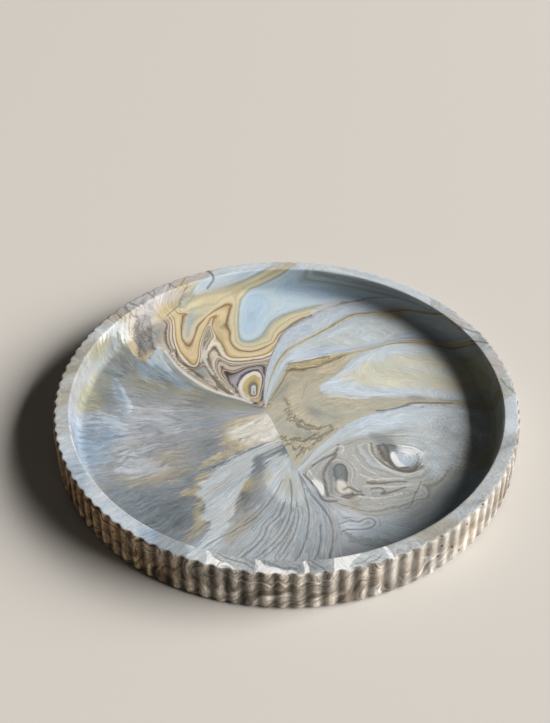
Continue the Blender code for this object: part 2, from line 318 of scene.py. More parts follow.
# Soft patches by colour: how far the edge fades, in mm, and the outline
patches = {
    "tan": [
        (4.0, rim_arc(157, 173)),
        (3.0, rim_arc(176, 184)),
        (3.0, rim_arc(139, 147)),
        (2.0, rim_arc(298, 308)),
        (5.0, [(-66, 66), (-56, 78), (-44, 88), (-36, 92), (-22, 96), (-22, 92), (-36, 84), (-46, 76),
            (-58, 64)]),
        (1.5, [(-37.6, 65), (-35.4, 56), (-36, 50), (-38.6, 44), (-39.8, 50), (-39.6, 58)]),
        (4.0, [(-42, -23), (-50, -25), (-56, -31), (-52, -35), (-44, -30)]),
        (4.0, [(-70, -40), (-58, -39), (-42, -35), (-38, -36), (-46, -41), (-60, -45)]),
        (3.0, [(-10, -34), (-14, -42), (-20, -53), (-19, -60), (-15, -52), (-10, -45), (-7, -38)]),
        (2.0, [(-24, -71), (-19, -62), (-13, -57), (-12, -62), (-17, -70), (-22, -76)]),
        (1.6, [(23.6, -51.6), (26, -50.4), (29, -52), (30, -56), (27, -57.4), (24.6, -55)]),
        (3.0, [(0, -38), (4, -46), (3, -52), (-1, -46)]),
    ],
    "peach": [
        (3.0, [(2, 46), (8, 49), (14, 54.5), (22, 61), (20, 61.5), (12, 55), (5, 50), (0, 47)]),
        (3.0, [(0.5, 17), (5, 17), (7, 9), (9, 3), (10, -2), (13, -6), (18, -8), (16, -11.6), (10, -11),
            (5, -7), (2.4, -3), (1.6, 5)]),
        (3.0, [(12, 10), (17, 9), (26, 8.6), (36, 6.6), (44, 7), (36, 3.6), (24, 4), (15, 5.5)]),
        (2.5, [(16, 33), (22, 35), (30, 40), (38, 43.5), (34, 39), (26, 31), (20, 26), (17, 24)]),
        (2.5, [(25, 26), (36, 26), (37, 22), (28, 20)]),
        (4.0, [(38, 33), (46, 32), (60, 25), (78, 21), (80, 14), (62, 19), (48, 25), (38, 28)]),
        (2.0, [(1, 30), (8, 30.6), (16, 33), (12, 34), (4, 32.4)]),
    ],
    "chalk": [
        (1.6, [(20.4, -42), (23.4, -42), (25, -45), (26.8, -48), (22, -49.6), (20, -46)]),
        (5.0, [(-4, 2), (-13, -4), (-20, -8.4), (-25, -12), (-24, -16.6), (-18, -20), (-11, -19.4),
            (3, -18.6), (2, -8)]),
    ],
    "ochre": [
        (2.2, [(-10, -0.5), (-16, -2), (-23, -5.6), (-30, -9.4), (-31, -12.6), (-26, -11.4), (-20, -9.6),
            (-15, -6), (-10.6, -3)]),
        (3.0, [(-21, -10), (-27, -14), (-29, -18), (-25, -22.6), (-20, -21.4), (-19, -17)]),
        (1.4, [(-4, 101.6), (1, 101.6), (5, 105.6), (10, 109.6), (4.4, 110), (0, 106)]),
        (0.8, [(-16, 9.6), (-13.6, 8.6), (-11.8, 9.6), (-11, 6), (-9.8, 3), (-11.6, 4), (-14, 6)]),
        (1.2, [(-9, -19), (-15, -22.6), (-22, -26.5), (-28, -31), (-37, -35.5), (-34, -31), (-27, -26),
            (-20, -21.8), (-12, -17.8)]),
        (2.4, [(-33, -37.5), (-37, -41), (-37.6, -45), (-42, -48.6), (-40, -52), (-36.6, -52), (-37, -56),
            (-38.6, -60), (-37, -63), (-37.6, -67), (-41, -74), (-36, -71.6), (-31.6, -66), (-31.6, -62.6),
            (-33.6, -58.6), (-32, -54), (-34, -49.6), (-35, -44), (-31, -40)]),
        (2.0, [(-15, -40), (-19, -42), (-20, -48), (-16, -49), (-13, -44)]),
        (1.8, [(-77.6, 51), (-74, 44), (-71, 39), (-68, 35), (-65.6, 34), (-63.6, 37), (-61.6, 42),
            (-62.6, 43), (-64.4, 39), (-66, 37.4), (-68.6, 40), (-71.4, 44), (-74.6, 51)]),
        (2.5, [(-66, 68), (-64, 73), (-58, 75), (-56, 70), (-60, 66)]),
        (2.0, [(-35, 66), (-30, 66), (-30, 56), (-28, 50), (-31, 50), (-34.5, 57)]),
        (2.5, [(-60, 86), (-54, 91), (-51, 87), (-57, 82)]),
        (3.0, [(60, 48), (72, 50), (85, 44), (74, 45)]),
        (3.0, [(44, 72), (52, 74), (60, 70), (52, 67)]),
        (2.0, [(1, 29.5), (3.4, 32.5), (10, 33.6), (17, 36.4), (26, 40), (25, 36), (16, 31.6), (9, 30.2),
            (5, 29)]),
        (1.2, [(-1.6, -18), (2, -18.6), (8, -20), (12, -17), (9, -21.4), (3, -21), (-1, -20)]),
    ],
    "olive": [
        (3.0, [(-93, 15), (-84, 14), (-79, 10), (-80, 3), (-86, -1), (-95, 0)]),
        (4.0, [(-86, 28), (-80, 26), (-76, 18), (-80, 10), (-88, 14)]),
        (5.0, [(-70, 26), (-62, 24), (-52, 18), (-42, 13), (-34, 10), (-46, 11), (-58, 14), (-70, 18)]),
        # Olive at the right wall, partly olive marbling and partly painted shade in the wall's shadow
        (7.0, [(80, -36), (87, -20), (88, 0), (86, 20), (80, 36), (92, 36), (104, 12), (104, -14),
            (92, -38)]),
        (4.0, [(-34, 9), (-24, 6), (-16, 3), (-24, 3), (-34, 4)]),
        (3.0, [(-62, 84), (-56, 90), (-50, 88), (-52, 78), (-56, 70), (-61, 68), (-64, 74)]),
        (4.0, [(-98, 30), (-94, 44), (-88, 55), (-82, 58), (-86, 46), (-90, 30)]),
    ],
    "cream": [
        (2.0, rim_arc(6, 13)),
        (1.5, rim_arc(27, 33)),
        (2.0, rim_arc(106, 112)),
        (4.0, [(-84, 66), (-76, 74), (-66, 84), (-56, 94), (-48, 100), (-44, 96), (-52, 84), (-60, 76),
            (-66, 66), (-72, 60), (-80, 60)]),
        (2.0, [(-98, 50), (-90, 62), (-80, 74), (-68, 86), (-56, 96), (-44, 102), (-40, 98), (-52, 92),
            (-66, 80), (-78, 68), (-88, 54)]),
    ],
    "lilac": [
        (4.0, [(-74, 4), (-66, 2), (-56, 2), (-50, -3), (-46, -10), (-48, -15), (-54, -18), (-62, -26),
            (-72, -24), (-70, -10)]),
        (3.0, [(-66, -28), (-56, -30), (-50, -36), (-62, -40), (-70, -36)]),
        (0.8, [(17.4, -56), (22, -56.6), (30, -61), (34.6, -63), (34, -65), (28, -64), (21, -64.6)]),
        (0.8, [(20.8, -66), (25, -65.4), (31, -65.6), (35.6, -64.6), (36, -67), (30, -68.4),
            (21.4, -69.2)]),
    ],
    "blue": [
        (6.0, [(-92, -6), (-80, -4), (-72, -10), (-70, -18), (-75, -26), (-78, -36), (-86, -44),
            (-96, -34), (-97, -18)]),
        (1.6, [(-78, 22), (-74.6, 16), (-71.6, 8), (-70, 0), (-72, -3), (-74.6, 4), (-77, 12)]),
        (4.0, [(-71, 36), (-62, 34), (-57, 33), (-52, 25), (-44, 15), (-56, 19), (-68, 25)]),
        (4.0, rim_arc(203, 213)),
        (2.0, rim_arc(232, 238)),
        (3.0, [(-47, 76), (-50, 66), (-49, 56), (-47.6, 52), (-46, 60), (-44, 70)]),
    ],
    "dark": [
        (3.0, [(-86, 48), (-81, 47), (-79, 40), (-80, 32), (-82, 26), (-84, 34)]),
        (3.0, [(-83, 38), (-75, 38), (-72, 32), (-74, 26), (-78, 20), (-82, 26)]),
        (3.0, [(-76, 58), (-71, 66), (-66, 66), (-66, 61), (-70, 57), (-74, 54)]),
        (1.4, [(-57, -0.5), (-50, -3), (-44.6, -7), (-51, -10), (-60, -12), (-51, -8.4), (-48, -6.6),
            (-52, -4)]),
        (1.4, [(-66, -8), (-58, -10), (-52, -14), (-58, -18), (-66, -22), (-58, -16.6), (-56, -14),
            (-60, -11)]),
        (2.0, rim_arc(236, 246)),
        (6.0, rim_arc(259, 277)),
        (1.6, rim_arc(160, 164)),
        (3.0, rim_arc(334, 338, 8)),
        (3.0, rim_arc(312, 315, 8)),
        (1.6, rim_arc(167, 171)),
        (5.0, rim_arc(16, 22)),
        (1.6, [(-71, 57), (-67, 60), (-62.4, 58), (-61.4, 52), (-63, 47), (-67, 44.6), (-70.6, 49)]),
        (4.0, [(4, 21), (2, 16), (-2, 10), (-5, 7), (-3, 13), (0, 20)]),
        (4.0, [(8, 3), (12, 3), (18, 0), (23, -3), (24, -6), (19, -5), (14, -4), (10, -2)]),
        (5.0, [(-1, -10), (3, -12), (8, -13), (10, -15), (8, -18), (3, -16)]),
        (2.0, [(36, -14), (42, -15), (44, -20), (42, -24), (38, -20)]),
        (4.0, [(-72, -44), (-62, -46), (-50, -47), (-42, -46), (-40, -54), (-37, -60), (-38, -70),
            (-46, -80), (-60, -72), (-74, -56)]),
        (3.0, [(-46, -38), (-36, -35), (-27, -31), (-20, -26), (-27, -33), (-36, -40), (-42, -48),
            (-50, -46)]),
        (5.0, [(-38, -17), (-33, -15), (-27, -17), (-27, -22), (-30, -28), (-35, -28), (-38, -23)]),
        (3.0, [(-68, 62), (-61, 63), (-58.6, 56), (-61, 47), (-66, 41), (-69, 45), (-72, 52)]),
        (2.5, [(-84, 34), (-76, 33), (-71, 28), (-75, 20), (-76.6, 12), (-74, 4), (-80, 2), (-86, 18)]),
        # Dark marbling at the front right, drawn out towards the right wall as painted shade along the edge
        # of its shadow
        (6.0, [(24, -78), (30, -68), (40, -60), (49, -53), (60, -46), (72, -43), (70, -54), (58, -70),
            (40, -84)]),
        (2.0, [(54, 9.5), (57, 11.2), (61, 9.8), (63, 7.6), (58, 7.4), (54, 8.4)]),
        (2.0, [(19, -32), (23, -32), (26, -38), (24, -41), (20, -41), (19, -50), (16.6, -50),
            (16.4, -36)]),
        (2.0, [(38, -15), (44, -16), (46, -21), (48, -25), (44, -26), (40, -20)]),
        (2.5, [(-42, 29), (-38, 30), (-36, 26), (-33, 18), (-30, 14), (-36, 18), (-42, 24)]),
        (2.0, [(-17, -42), (-13, -44), (-14, -52), (-18, -60), (-20, -54), (-19, -46)]),
        (4.0, [(64, -20), (72, -22), (74, -30), (66, -30)]),
    ],
    "sky": [
        (4.0, [(49, -22), (58, -19), (65, -23), (62, -30), (54, -32), (50, -29)]),
        (2.0, [(-46, 84), (-40, 97), (-36, 106), (-20, 112), (-8, 106), (-20, 98), (-33, 89), (-42, 85)]),
        (2.0, [(8, 103), (22, 101), (44, 94), (70, 76), (76, 82), (48, 102), (20, 112), (9, 112)]),
        (2.0, [(-98, -30), (-92, -46), (-80, -64), (-64, -80), (-46, -92), (-38, -96), (-42, -103),
            (-52, -100), (-72, -86), (-90, -66), (-104, -38)]),
        (1.5, rim_arc(342, 355)),
        (2.0, rim_arc(42, 74)),
        (1.6, [(-60.4, 45), (-63, 39), (-65.4, 33.4), (-60, 31), (-53, 27), (-55, 33), (-57.6, 39)]),
        (1.0, [(-77, 21), (-74.8, 16.6), (-72.6, 12), (-71, 8.4), (-69, 5), (-68, 1), (-69.4, -2),
            (-70.6, 2), (-72, 7), (-74, 11.6), (-76, 16.6)]),
        (3.0, [(-82, -4), (-77, -3), (-73, -6), (-68, -12), (-71, -15), (-77, -9)]),
        (1.2, [(13, 73.4), (17, 77), (24, 80.4), (28, 80.6), (24, 77.6), (17, 73.4), (13.6, 71)]),
        (2.0, [(2, 38), (3.5, 36), (12, 37.6), (22, 41), (31, 44), (22, 46), (10, 44), (4, 42)]),
        (3.0, [(16, 14), (22, 20), (28, 27), (31, 22), (40, 16), (60, 13), (80, 10), (60, 10), (40, 9.4),
            (28, 9.6), (18, 12)]),
        (5.0, [(28, -12), (36, -5), (48, 0), (60, 3), (76, 0), (76, -10), (64, -16), (50, -12),
            (38, -12)]),
        (3.0, [(50, -22), (60, -22), (70, -30), (62, -34), (55, -30)]),
        (5.0, [(30, 36), (40, 42), (54, 46), (64, 44), (54, 40), (42, 36)]),
    ],
    "pale": [
        (3.0, [(55, -20), (60, -21), (63, -28), (60, -34), (55, -34), (57, -30), (57.6, -26)]),
        (6.0, [(54, -6), (50, -20), (53, -30), (60, -37), (70, -36), (82, -22), (86, -4), (66, 1)]),
        (4.0, [(-96, 44), (-90, 52), (-84, 56), (-78, 54), (-77, 49), (-83, 50), (-88, 47), (-94, 39)]),
        (0.6, [(-41, -102), (-38.6, -96.6), (-32.4, -96.8), (-31, -102.6), (-37, -104.8)]),
        (1.5, [(24.6, -102), (30, -97.4), (37, -94.4), (40.4, -98), (41, -103), (32, -105.4),
            (24.4, -107)]),
        (1.5, [(-13, -24), (-22, -30), (-30, -36), (-32, -40), (-36, -44), (-34, -46), (-38, -49.5),
            (-34, -53), (-33, -58), (-35, -62), (-30, -65), (-32, -71), (-36, -78), (-30, -78), (-24, -68),
            (-21, -60), (-20, -52), (-17, -44), (-14, -36), (-14, -30)]),
        (3.0, [(-2, -19.6), (-10, -22), (-18, -26), (-24, -30), (-20, -31), (-12, -27), (-4, -24)]),
        (2.5, [(-7, -27), (0, -27), (3.4, -35), (8, -41), (9, -50), (2, -56), (-5, -50), (-9, -38),
            (-9, -32)]),
    ],
    "white": [
        (0.8, [(10.6, -41.6), (12.6, -42), (14.6, -46), (14.4, -50), (12.6, -47.6)]),
        (0.8, [(43.6, -26), (45, -25), (46.6, -28), (47.4, -31), (49.4, -33.4), (47, -34), (44.6, -31.6)]),
        (3.0, [(48, -23), (54, -22), (58, -25), (55, -28), (50, -28)]),
        (0.5, [(-32.9, -97), (-31.5, -97.2), (-29.6, -100.6), (-25.4, -102.4), (-20.6, -105.6),
            (-20.4, -108), (-28, -107.5), (-37, -104.6), (-32.3, -102.4)]),
        (0.5, [(-13, -101.6), (-11.4, -101.6), (-10, -103.6), (-5, -105.4), (0, -106.5), (3.6, -107.2),
            (4, -110), (-4, -110), (-11.5, -110)]),
        (0.5, [(5.8, -102.2), (7.2, -102.2), (8.2, -108.8), (4.5, -110.4), (6.4, -107)]),
        (0.5, [(18.8, -99.8), (22.4, -99.6), (25, -98.4), (29.4, -97.8), (25.8, -101.8), (23.8, -104),
            (23.6, -108.8), (18.4, -109)]),
        (0.5, [(37, -94.2), (38.4, -94), (40.4, -96), (41.6, -99), (41.6, -102), (40.6, -101.6),
            (39.4, -97.4)]),
    ],
}

# Strokes by colour: half the width, in mm, and the line
strokes = {
    "jagged": [
        (1, [(-0.5, 8), (1, 3), (0, 0), (2, -2.5), (1.6, -5), (4, -7), (6, -9.6), (10, -11.5),
            (13, -11.5)]),
        (1, [(13, -11.5), (16, -9), (19, -9.6), (20, -11), (17, -14), (14, -18), (8, -24), (5, -28)]),
        (1, [(1, 0.5), (3, -2.5), (5, -5.5), (8, -8.5), (12, -9.5)]),
        (1, [(-2, -17), (1, -18), (3.5, -17.2), (6, -19), (8, -18.4), (10.5, -17), (13, -15.4)]),
        (1, [(-0.5, -21.4), (2.4, -21.2), (5, -23), (7, -21.8)]),
        (1, [(1, 28), (5, 29), (8, 28.6), (11, 29.6), (15, 31), (20, 34), (27, 38.5)]),
        (1, [(1.5, 32.4), (5, 33.6), (9, 34), (14, 35.6), (19, 38)]),
    ],
    "dark": [
        (0.3, [(-8.4, 4), (-7, 9), (-4.6, 14), (-1.6, 19), (1.4, 23), (4, 26.6)]),
        (0.2, [(-7.4, 4), (-5, 9), (-1, 15), (3, 20), (8, 25), (14, 28.6)]),
        (0.1, [(-7.8, 2), (-4, 7), (1, 13), (6, 18), (11, 21.6)]),
        (0.2, [(9.8, 20), (9, 16), (7.6, 11), (7, 7.6)]),
        (0.2, [(3, 0.6), (-1, -2.6), (-4, -7)]),
        (1.1, [(-37.3, 36), (-36.2, 31.5), (-34.6, 27), (-32, 21), (-28.6, 15.4), (-24.5, 11)]),
        (0.9, [(-48.5, 34.5), (-45.8, 31.4), (-43, 29.6), (-40.8, 30.2), (-40, 33)]),
        (0.9, [(-52.6, 43), (-50.4, 38), (-47, 32), (-42.6, 27.2), (-38, 23)]),
        (0.7, [(40, 0.4), (46, 1.2), (52, 3.4), (56, 5.4), (64, 5.6), (74, 5.4)]),
        (0.7, [(41, -20.4), (42.6, -23), (43, -26.5), (42.8, -29), (44.4, -32.6), (47.2, -34.6),
            (50.6, -34.4)]),
        (0.7, [(36, -20), (36.6, -26), (40, -31.6), (45.6, -36), (52, -37), (56.6, -33.4)]),
        (0.7, [(10.6, -33.6), (15, -29.6), (20, -26.4), (21.6, -23.4), (22, -21)]),
        (0.8, [(16.4, -50.6), (15.6, -44), (15.2, -38), (17.6, -32), (21, -27)]),
        (0.7, [(23, -47), (25.4, -45.6), (27.8, -47.6), (30, -48)]),
        (0.7, [(22, -50.6), (25, -51.6), (28, -49.6), (31, -50)]),
        (0.6, [(32.6, -43), (37, -43.6), (43, -42.6), (49, -42.4)]),
        (0.6, [(34, -46.8), (37.6, -45.8), (39.6, -47.6), (38, -49.4), (42, -48.4), (48, -45.6)]),
        (0.7, [(7, -38.5), (10, -43), (12.6, -48), (14, -52), (16.6, -53.4), (20, -53)]),
        (0.9, [(-45, 99.4), (-42, 98.8), (-40.4, 97), (-39, 93), (-41, 88)]),
        (0.7, [(103, 36), (97.6, 37.4), (93, 39)]),
        (0.6, [(98.4, 44), (94, 46.6), (89, 50.4)]),
        (0.5, [(103.4, 9), (105, 3.4), (108, -2)]),
        (0.8, [(-56, 40), (-54, 36.6), (-52.6, 34.4)]),
        (0.6, [(-31, -35), (-24, -30.4), (-17, -25.4), (-10, -21)]),
    ],
    "fine": [
        (0.5, [(20.6, -65), (24.5, -63.6), (28, -64.2), (31, -62.2), (33.4, -62.6), (34.6, -64.6),
            (32.7, -67), (29, -67.9), (24, -67.9), (21.4, -69)]),
        (0.4, [(54.6, -43), (53, -47), (51.4, -50), (49, -56), (46.6, -57)]),
        (0.6, [(6, -40), (9.6, -49), (13.6, -56), (16.6, -62), (17.6, -70), (16.6, -79), (14, -88)]),
        (0.5, [(5, -38), (7, -48), (8.4, -58), (8, -68), (5.6, -78), (1, -87)]),
        (0.5, [(1.4, -42), (1.8, -48), (1.6, -58), (-0.6, -66), (-4, -73), (-10, -80), (-17, -86)]),
        (0.6, [(-1, -54), (-3.4, -61), (-7.4, -66), (-9, -71), (-12, -76), (-16.6, -81), (-22, -86)]),
        (0.5, [(13, -66), (12.6, -74), (11, -81), (8, -88)]),
        (0.4, [(4.2, -58), (4.4, -62), (2, -72), (-3, -82)]),
        (0.4, [(-2, -42), (-5, -50), (-9.6, -58), (-14, -63.6), (-19, -67.4), (-24, -71), (-31, -76),
            (-38, -83)]),
        (0.4, [(-29, -98), (-24, -101), (-19, -102.6), (-14, -105)]),
        (0.4, [(-26, -104), (-20, -106), (-13, -108)]),
        (0.4, [(-8, -103), (-3, -105), (3, -105.6)]),
        (0.4, [(9, -102.4), (13, -105), (16, -108.4)]),
        (0.4, [(27, -105), (32, -102.6), (37, -99)]),
        (0.6, [(-72, 58), (-69.4, 53), (-66.6, 48.6)]),
        (0.7, [(-69.4, 59), (-67, 54), (-64, 51.6)]),
        (0.5, [(-67, 60), (-64.4, 57), (-62.4, 55)]),
        (0.5, [(-70.6, 50), (-68, 46), (-66, 41.6)]),
        (0.7, [(-59.1, 84.4), (-61.4, 86), (-62.5, 89.3)]),
        (0.7, [(-70.2, 75.3), (-71.4, 77), (-74.3, 79.7)]),
        (0.8, [(-77.7, 67.6), (-80.6, 69), (-82.3, 71.5)]),
        (0.8, [(-85.4, 57.6), (-87.6, 60.4), (-90.4, 61)]),
        (0.6, [(-84, 68), (-82.6, 63.6), (-79, 61.4), (-74.6, 62), (-72.4, 59), (-73, 54), (-72, 49.6),
            (-68.6, 44.4), (-66, 40)]),
        (0.5, [(-53, 87), (-54, 80), (-53.6, 76), (-56, 72.4), (-58.4, 69)]),
        (0.4, [(-88, 68), (-85, 66), (-83, 63), (-80.8, 60), (-78, 55.6), (-75, 52)]),
        (0.3, [(-80, 66), (-77, 64), (-75, 60), (-74.6, 56)]),
        (0.3, [(-76, 70), (-73, 67.6), (-70.6, 64), (-70, 60)]),
        (0.3, [(-64, 52), (-66, 47), (-67, 43), (-65.6, 40)]),
        (0.1, [(-69.6, 60), (-66, 52), (-64.6, 44)]),
        (0.2, [(-51.4, 84), (-52.6, 78), (-52, 73)]),
        (0.4, [(-63.6, 89), (-62.6, 86.6), (-62, 84)]),
        (0.5, [(-71.6, 82), (-70, 80), (-70, 77.6)]),
        (0.4, [(-54, 94.6), (-55, 91), (-56.4, 86)]),
        (0.3, [(-94, 56), (-90.6, 55.4), (-87.6, 52), (-86, 48.6)]),
    ],
    "white": [
        (0.2, [(-36.4, -10.9), (-35, -11.2)]),
        (0.1, [(-26.6, -2.5), (-25.9, -2.7)]),
        (0.1, [(-62, 12.8), (-61.3, 12.5)]),
        (0.1, [(-42, -32.8), (-41.3, -33.1)]),
        (0.1, [(-36, 3.5), (-33.4, 3.1)]),
        (0.9, [(-57, 42), (-53.5, 35.8), (-50, 30), (-46, 25), (-41, 20), (-35, 15), (-28.5, 11.4),
            (-22, 8.9), (-15.5, 5.6)]),
        (0.8, [(-37.9, 42), (-38, 38), (-37.2, 34), (-35.6, 29.5), (-33.4, 25)]),
        (1.1, [(-17, 7.6), (-19.4, 10.6), (-20.6, 14.6), (-20.4, 18.6), (-18.8, 22.4), (-16.4, 25),
            (-13.8, 25.8), (-12.4, 24)]),
        (0.7, [(44.6, -30), (45.6, -33), (47, -34)]),
        (0.6, [(35, -20.6), (35.4, -26), (38.6, -32), (44, -36.6), (50, -38.4), (56, -36)]),
        (0.6, [(9, -36), (11, -40), (12, -44)]),
        (0.6, [(11, -32), (16, -27), (21, -22.6), (24, -22), (23.4, -26)]),
        (0.5, [(28, -27), (32, -34), (38, -39)]),
        (0.5, [(33, -41.6), (40, -41), (48, -40.6)]),
        (0.5, [(31, -45.2), (37, -45), (44, -45.4), (51, -44)]),
        (0.5, [(29, -50.6), (35, -51.6), (42, -50.6), (47, -48.6)]),
        (0.5, [(27, -31), (30, -38), (35, -41)]),
        (0.5, [(3, 34.2), (9, 35.6), (15, 37.8), (21, 39.6)]),
    ],
}


# Where each point of the tray's mesh lies on the surface rolled out flat, in mm
rolled = []


def placed(name, data):
    """A new object in the scene, for a mesh, a lamp or a camera."""
    obj = bpy.data.objects.new(name, data)
    bpy.context.scene.collection.objects.link(obj)
    return obj


def finished(bm, name):
    """An object made of the faces built so far."""
    bmesh.ops.recalc_face_normals(bm, faces=bm.faces)
    mesh = bpy.data.meshes.new(name)
    bm.to_mesh(mesh)
    bm.free()
    return placed(name, mesh)


def ring(bm, count, radius_at, z, reach):
    """A ring of points round the tray, with the place of each on the surface rolled out flat."""
    first = 2 * math.pi * first_crest_share / flute_count
    verts = []
    for i in range(count):
        turn = first + 2 * math.pi * i / count
        radius = radius_at(turn)
        verts.append(bm.verts.new((radius * math.cos(turn) * MM, radius * math.sin(turn) * MM, z * MM)))
        rolled.append((reach * math.cos(turn), reach * math.sin(turn)))
    return verts


def join_rings(bm, inner, outer):
    """Faces from an inner ring to an outer one that has as many points, or twice as many."""
    n = len(inner)
    ratio = len(outer) // n
    for i in range(n):
        j = (i + 1) % n
        if ratio == 1:
            bm.faces.new((inner[i], outer[i], outer[j], inner[j]))
        else:
            a, b, c = outer[2 * i], outer[2 * i + 1], outer[(2 * i + 2) % len(outer)]
            bm.faces.new((inner[i], a, b))
            bm.faces.new((inner[i], b, inner[j]))
            bm.faces.new((inner[j], b, c))


def flat_disc(bm, outer_radius, z, outer_count, step, reach_at):
    """A flat disc of rings whose point count halves towards the middle. Gives its outer ring."""
    steps = round(outer_radius / step)
    radii = [outer_radius * (i + 1) / steps for i in range(steps)]
    # The count halves where the points would stand closer than this share of their spacing at the edge
    tightest = 0.55
    counts = []
    count = outer_count
    for radius in reversed(radii):
        while count % 2 == 0 and radius < outer_radius * tightest * count / outer_count:
            count //= 2
        counts.append(count)
    counts.reverse()
    rings = [ring(bm, n, lambda turn, r=r: r, z, reach_at(r)) for r, n in zip(radii, counts)]
    bm.faces.new(rings[0])
    for inner, outer in zip(rings, rings[1:]):
        join_rings(bm, inner, outer)
    return rings[-1]


def build_tray():
    """One skin: the dish's floor and wall, the rim, the flutes and the base."""
    around = flute_count * points_per_flute
    bm = bmesh.new()
    last = flat_disc(bm, floor_radius, floor_z, around // 2, inside_step, lambda r: r)
    inside = inside_profile()
    reach = floor_radius
    for before, (radius, z) in zip(inside, inside[1:]):
        reach += math.hypot(radius - before[0], z - before[1])
        new = ring(bm, around // 2, lambda turn: radius, z, reach)
        join_rings(bm, last, new)
        last = new

    flat_inner = opening_radius + inner_edge_radius
    rim_flat = rim_width - inner_edge_radius - outer_edge_radius - flute_depth
    widest = rim_flat + outer_edge_radius
    before = (widest, rim_z)
    for inset, z in outside_profile():
        reach += math.hypot(inset - before[0], z - before[1])
        before = (inset, z)
        if z == rim_z:
            # The flutes grow in across the flat rim, from the round opening to the fluted edge
            share = 1 - (inset - outer_edge_radius) / (widest - outer_edge_radius)

            def radius_at(turn):
                edge = crest_radius_rim - flute_cut(turn) - outer_edge_radius
                return flat_inner + (edge - flat_inner) * share
        else:
            flare = base_flare * (rim_z - z) / (rim_z - base_z)

            def radius_at(turn):
                return crest_radius_rim + flare - flute_cut(turn) - inset

        new = ring(bm, around, radius_at, z, reach)
        join_rings(bm, last, new)
        last = new
    base_radius = crest_radius_rim + base_flare - flute_depth - 2 * base_edge_radius
    past_edge = reach + 2 + base_radius
    base = flat_disc(bm, base_radius, base_z, around // 2, base_step, lambda r: past_edge - r)
    # The base disc faces down, so it joins with its winding turned round
    for i in range(len(base)):
        j = (i + 1) % len(base)
        a, b, c = last[2 * i], last[2 * i + 1], last[(2 * i + 2) % len(last)]
        bm.faces.new((base[i], b, a))
        bm.faces.new((base[i], base[j], b))
        bm.faces.new((base[j], c, b))
    tray = finished(bm, "tray")
    tray.data.shade_smooth()
    return tray


def smooth(points, closed=False, step=2.0):
    """Points about every step mm along a smooth curve through given points."""
    p = np.array(points, float)
    if closed:
        p = np.vstack([p[-1:], p, p[:2]])
    else:
        p = np.vstack([2 * p[0] - p[1], p, 2 * p[-1] - p[-2]])
    out = []
    for a, b, c, d in zip(p, p[1:], p[2:], p[3:]):
        n = max(1, math.ceil(math.dist(b, c) / step))
        u = np.arange(n)[:, None] / n
        bend, twist = 2 * a - 5 * b + 4 * c - d, 3 * b - a - 3 * c + d
        out.append(0.5 * (2 * b + (c - a) * u + bend * u**2 + twist * u**3))
    out = np.vstack(out)
    return out if closed else np.vstack([out, p[-2:-1]])


def spread(square):
    """Thin-plate spread of one line point's level, from the squared distance."""
    return square * np.log(np.maximum(square, 1e-12))


def level_field(lines, places):
    """Level of each place on a smooth field that holds each drawn line at its own level."""
    known, level = [], []
    clear, unit, slack, batch = 2.5, 100, 1e-5, 4000
    for value, points in lines:
        curve = smooth(points, step=3.0)
        # Many lines meet at the hubs, so their points there are left out
        curve = curve[(np.hypot(*(curve - hub).T) > clear) & (np.hypot(*(curve - lower_hub).T) > clear)]
        known.append(curve)
        level += [value] * len(curve)
    known = np.vstack(known) / unit
    n = len(known)
    gap = known[:, None] - known[None]
    system = np.zeros((n + 3, n + 3))
    system[:n, :n] = spread((gap**2).sum(-1)) + np.eye(n) * slack
    system[:n, n] = system[n, :n] = 1
    system[:n, n + 1:] = known
    system[n + 1:, :n] = known.T
    weights = np.linalg.solve(system, np.array(level + [0, 0, 0], float))
    out = np.empty(len(places))
    for start in range(0, len(places), batch):
        some = places[start:start + batch] / unit
        square = ((some[:, None] - known[None])**2).sum(-1)
        out[start:start + batch] = spread(square) @ weights[:n] + weights[n] + some @ weights[n + 1:]
    return out


def distance(places, curve, closed=False):
    """Distance from each place to a curve, in mm, and whether the closed curve holds it."""
    far = np.full(len(places), 1e9)
    held = np.zeros(len(places), bool)
    ends = np.roll(curve, -1, axis=0) if closed else curve[1:]
    x, y = places.T
    for (ax, ay), (bx, by) in zip(curve, ends):
        dx, dy = bx - ax, by - ay
        share = np.clip(((x - ax) * dx + (y - ay) * dy) / max(dx * dx + dy * dy, 1e-9), 0, 1)
        far = np.minimum(far, (x - ax - share * dx)**2 + (y - ay - share * dy)**2)
        if closed and ay != by:
            held ^= ((ay > y) != (by > y)) & (x < ax + (y - ay) * dx / dy)
    return np.sqrt(far), held


def depth_inside(places, outline):
    """How deep inside an outline each place lies, in mm; negative outside it."""
    far, held = distance(places, smooth(outline, closed=True), closed=True)
    return np.where(held, far, -far)


def close_to(points, places, margin):
    """Which places lie in the box round some points, grown by a margin."""
    low, high = np.min(points, axis=0) - margin, np.max(points, axis=0) + margin
    return np.all((places > low) & (places < high), axis=1)


def patch_field(shapes, places):
    """1 well inside the soft patches of one colour, 0.5 on their outlines, 0 well outside."""
    out = np.zeros(len(places))
    for fade, outline in shapes:
        near = close_to(outline, places, fade)
        depth = depth_inside(places[near], outline)
        out[near] = np.maximum(out[near], np.clip(0.5 + depth / (2 * fade), 0, 1))
    return out


def stroke_field(shapes, places):
    """Over 1 along the strokes of one colour, 0 just outside half their width, down to -3."""
    out = np.full(len(places), -3.0)
    for half, line in shapes:
        near = close_to(line, places, 3)
        far = distance(places[near], smooth(line, step=1.5))[0]
        out[near] = np.maximum(out[near], np.clip((half + 0.2 - far) / 0.7, -3, 1.2))
    return out


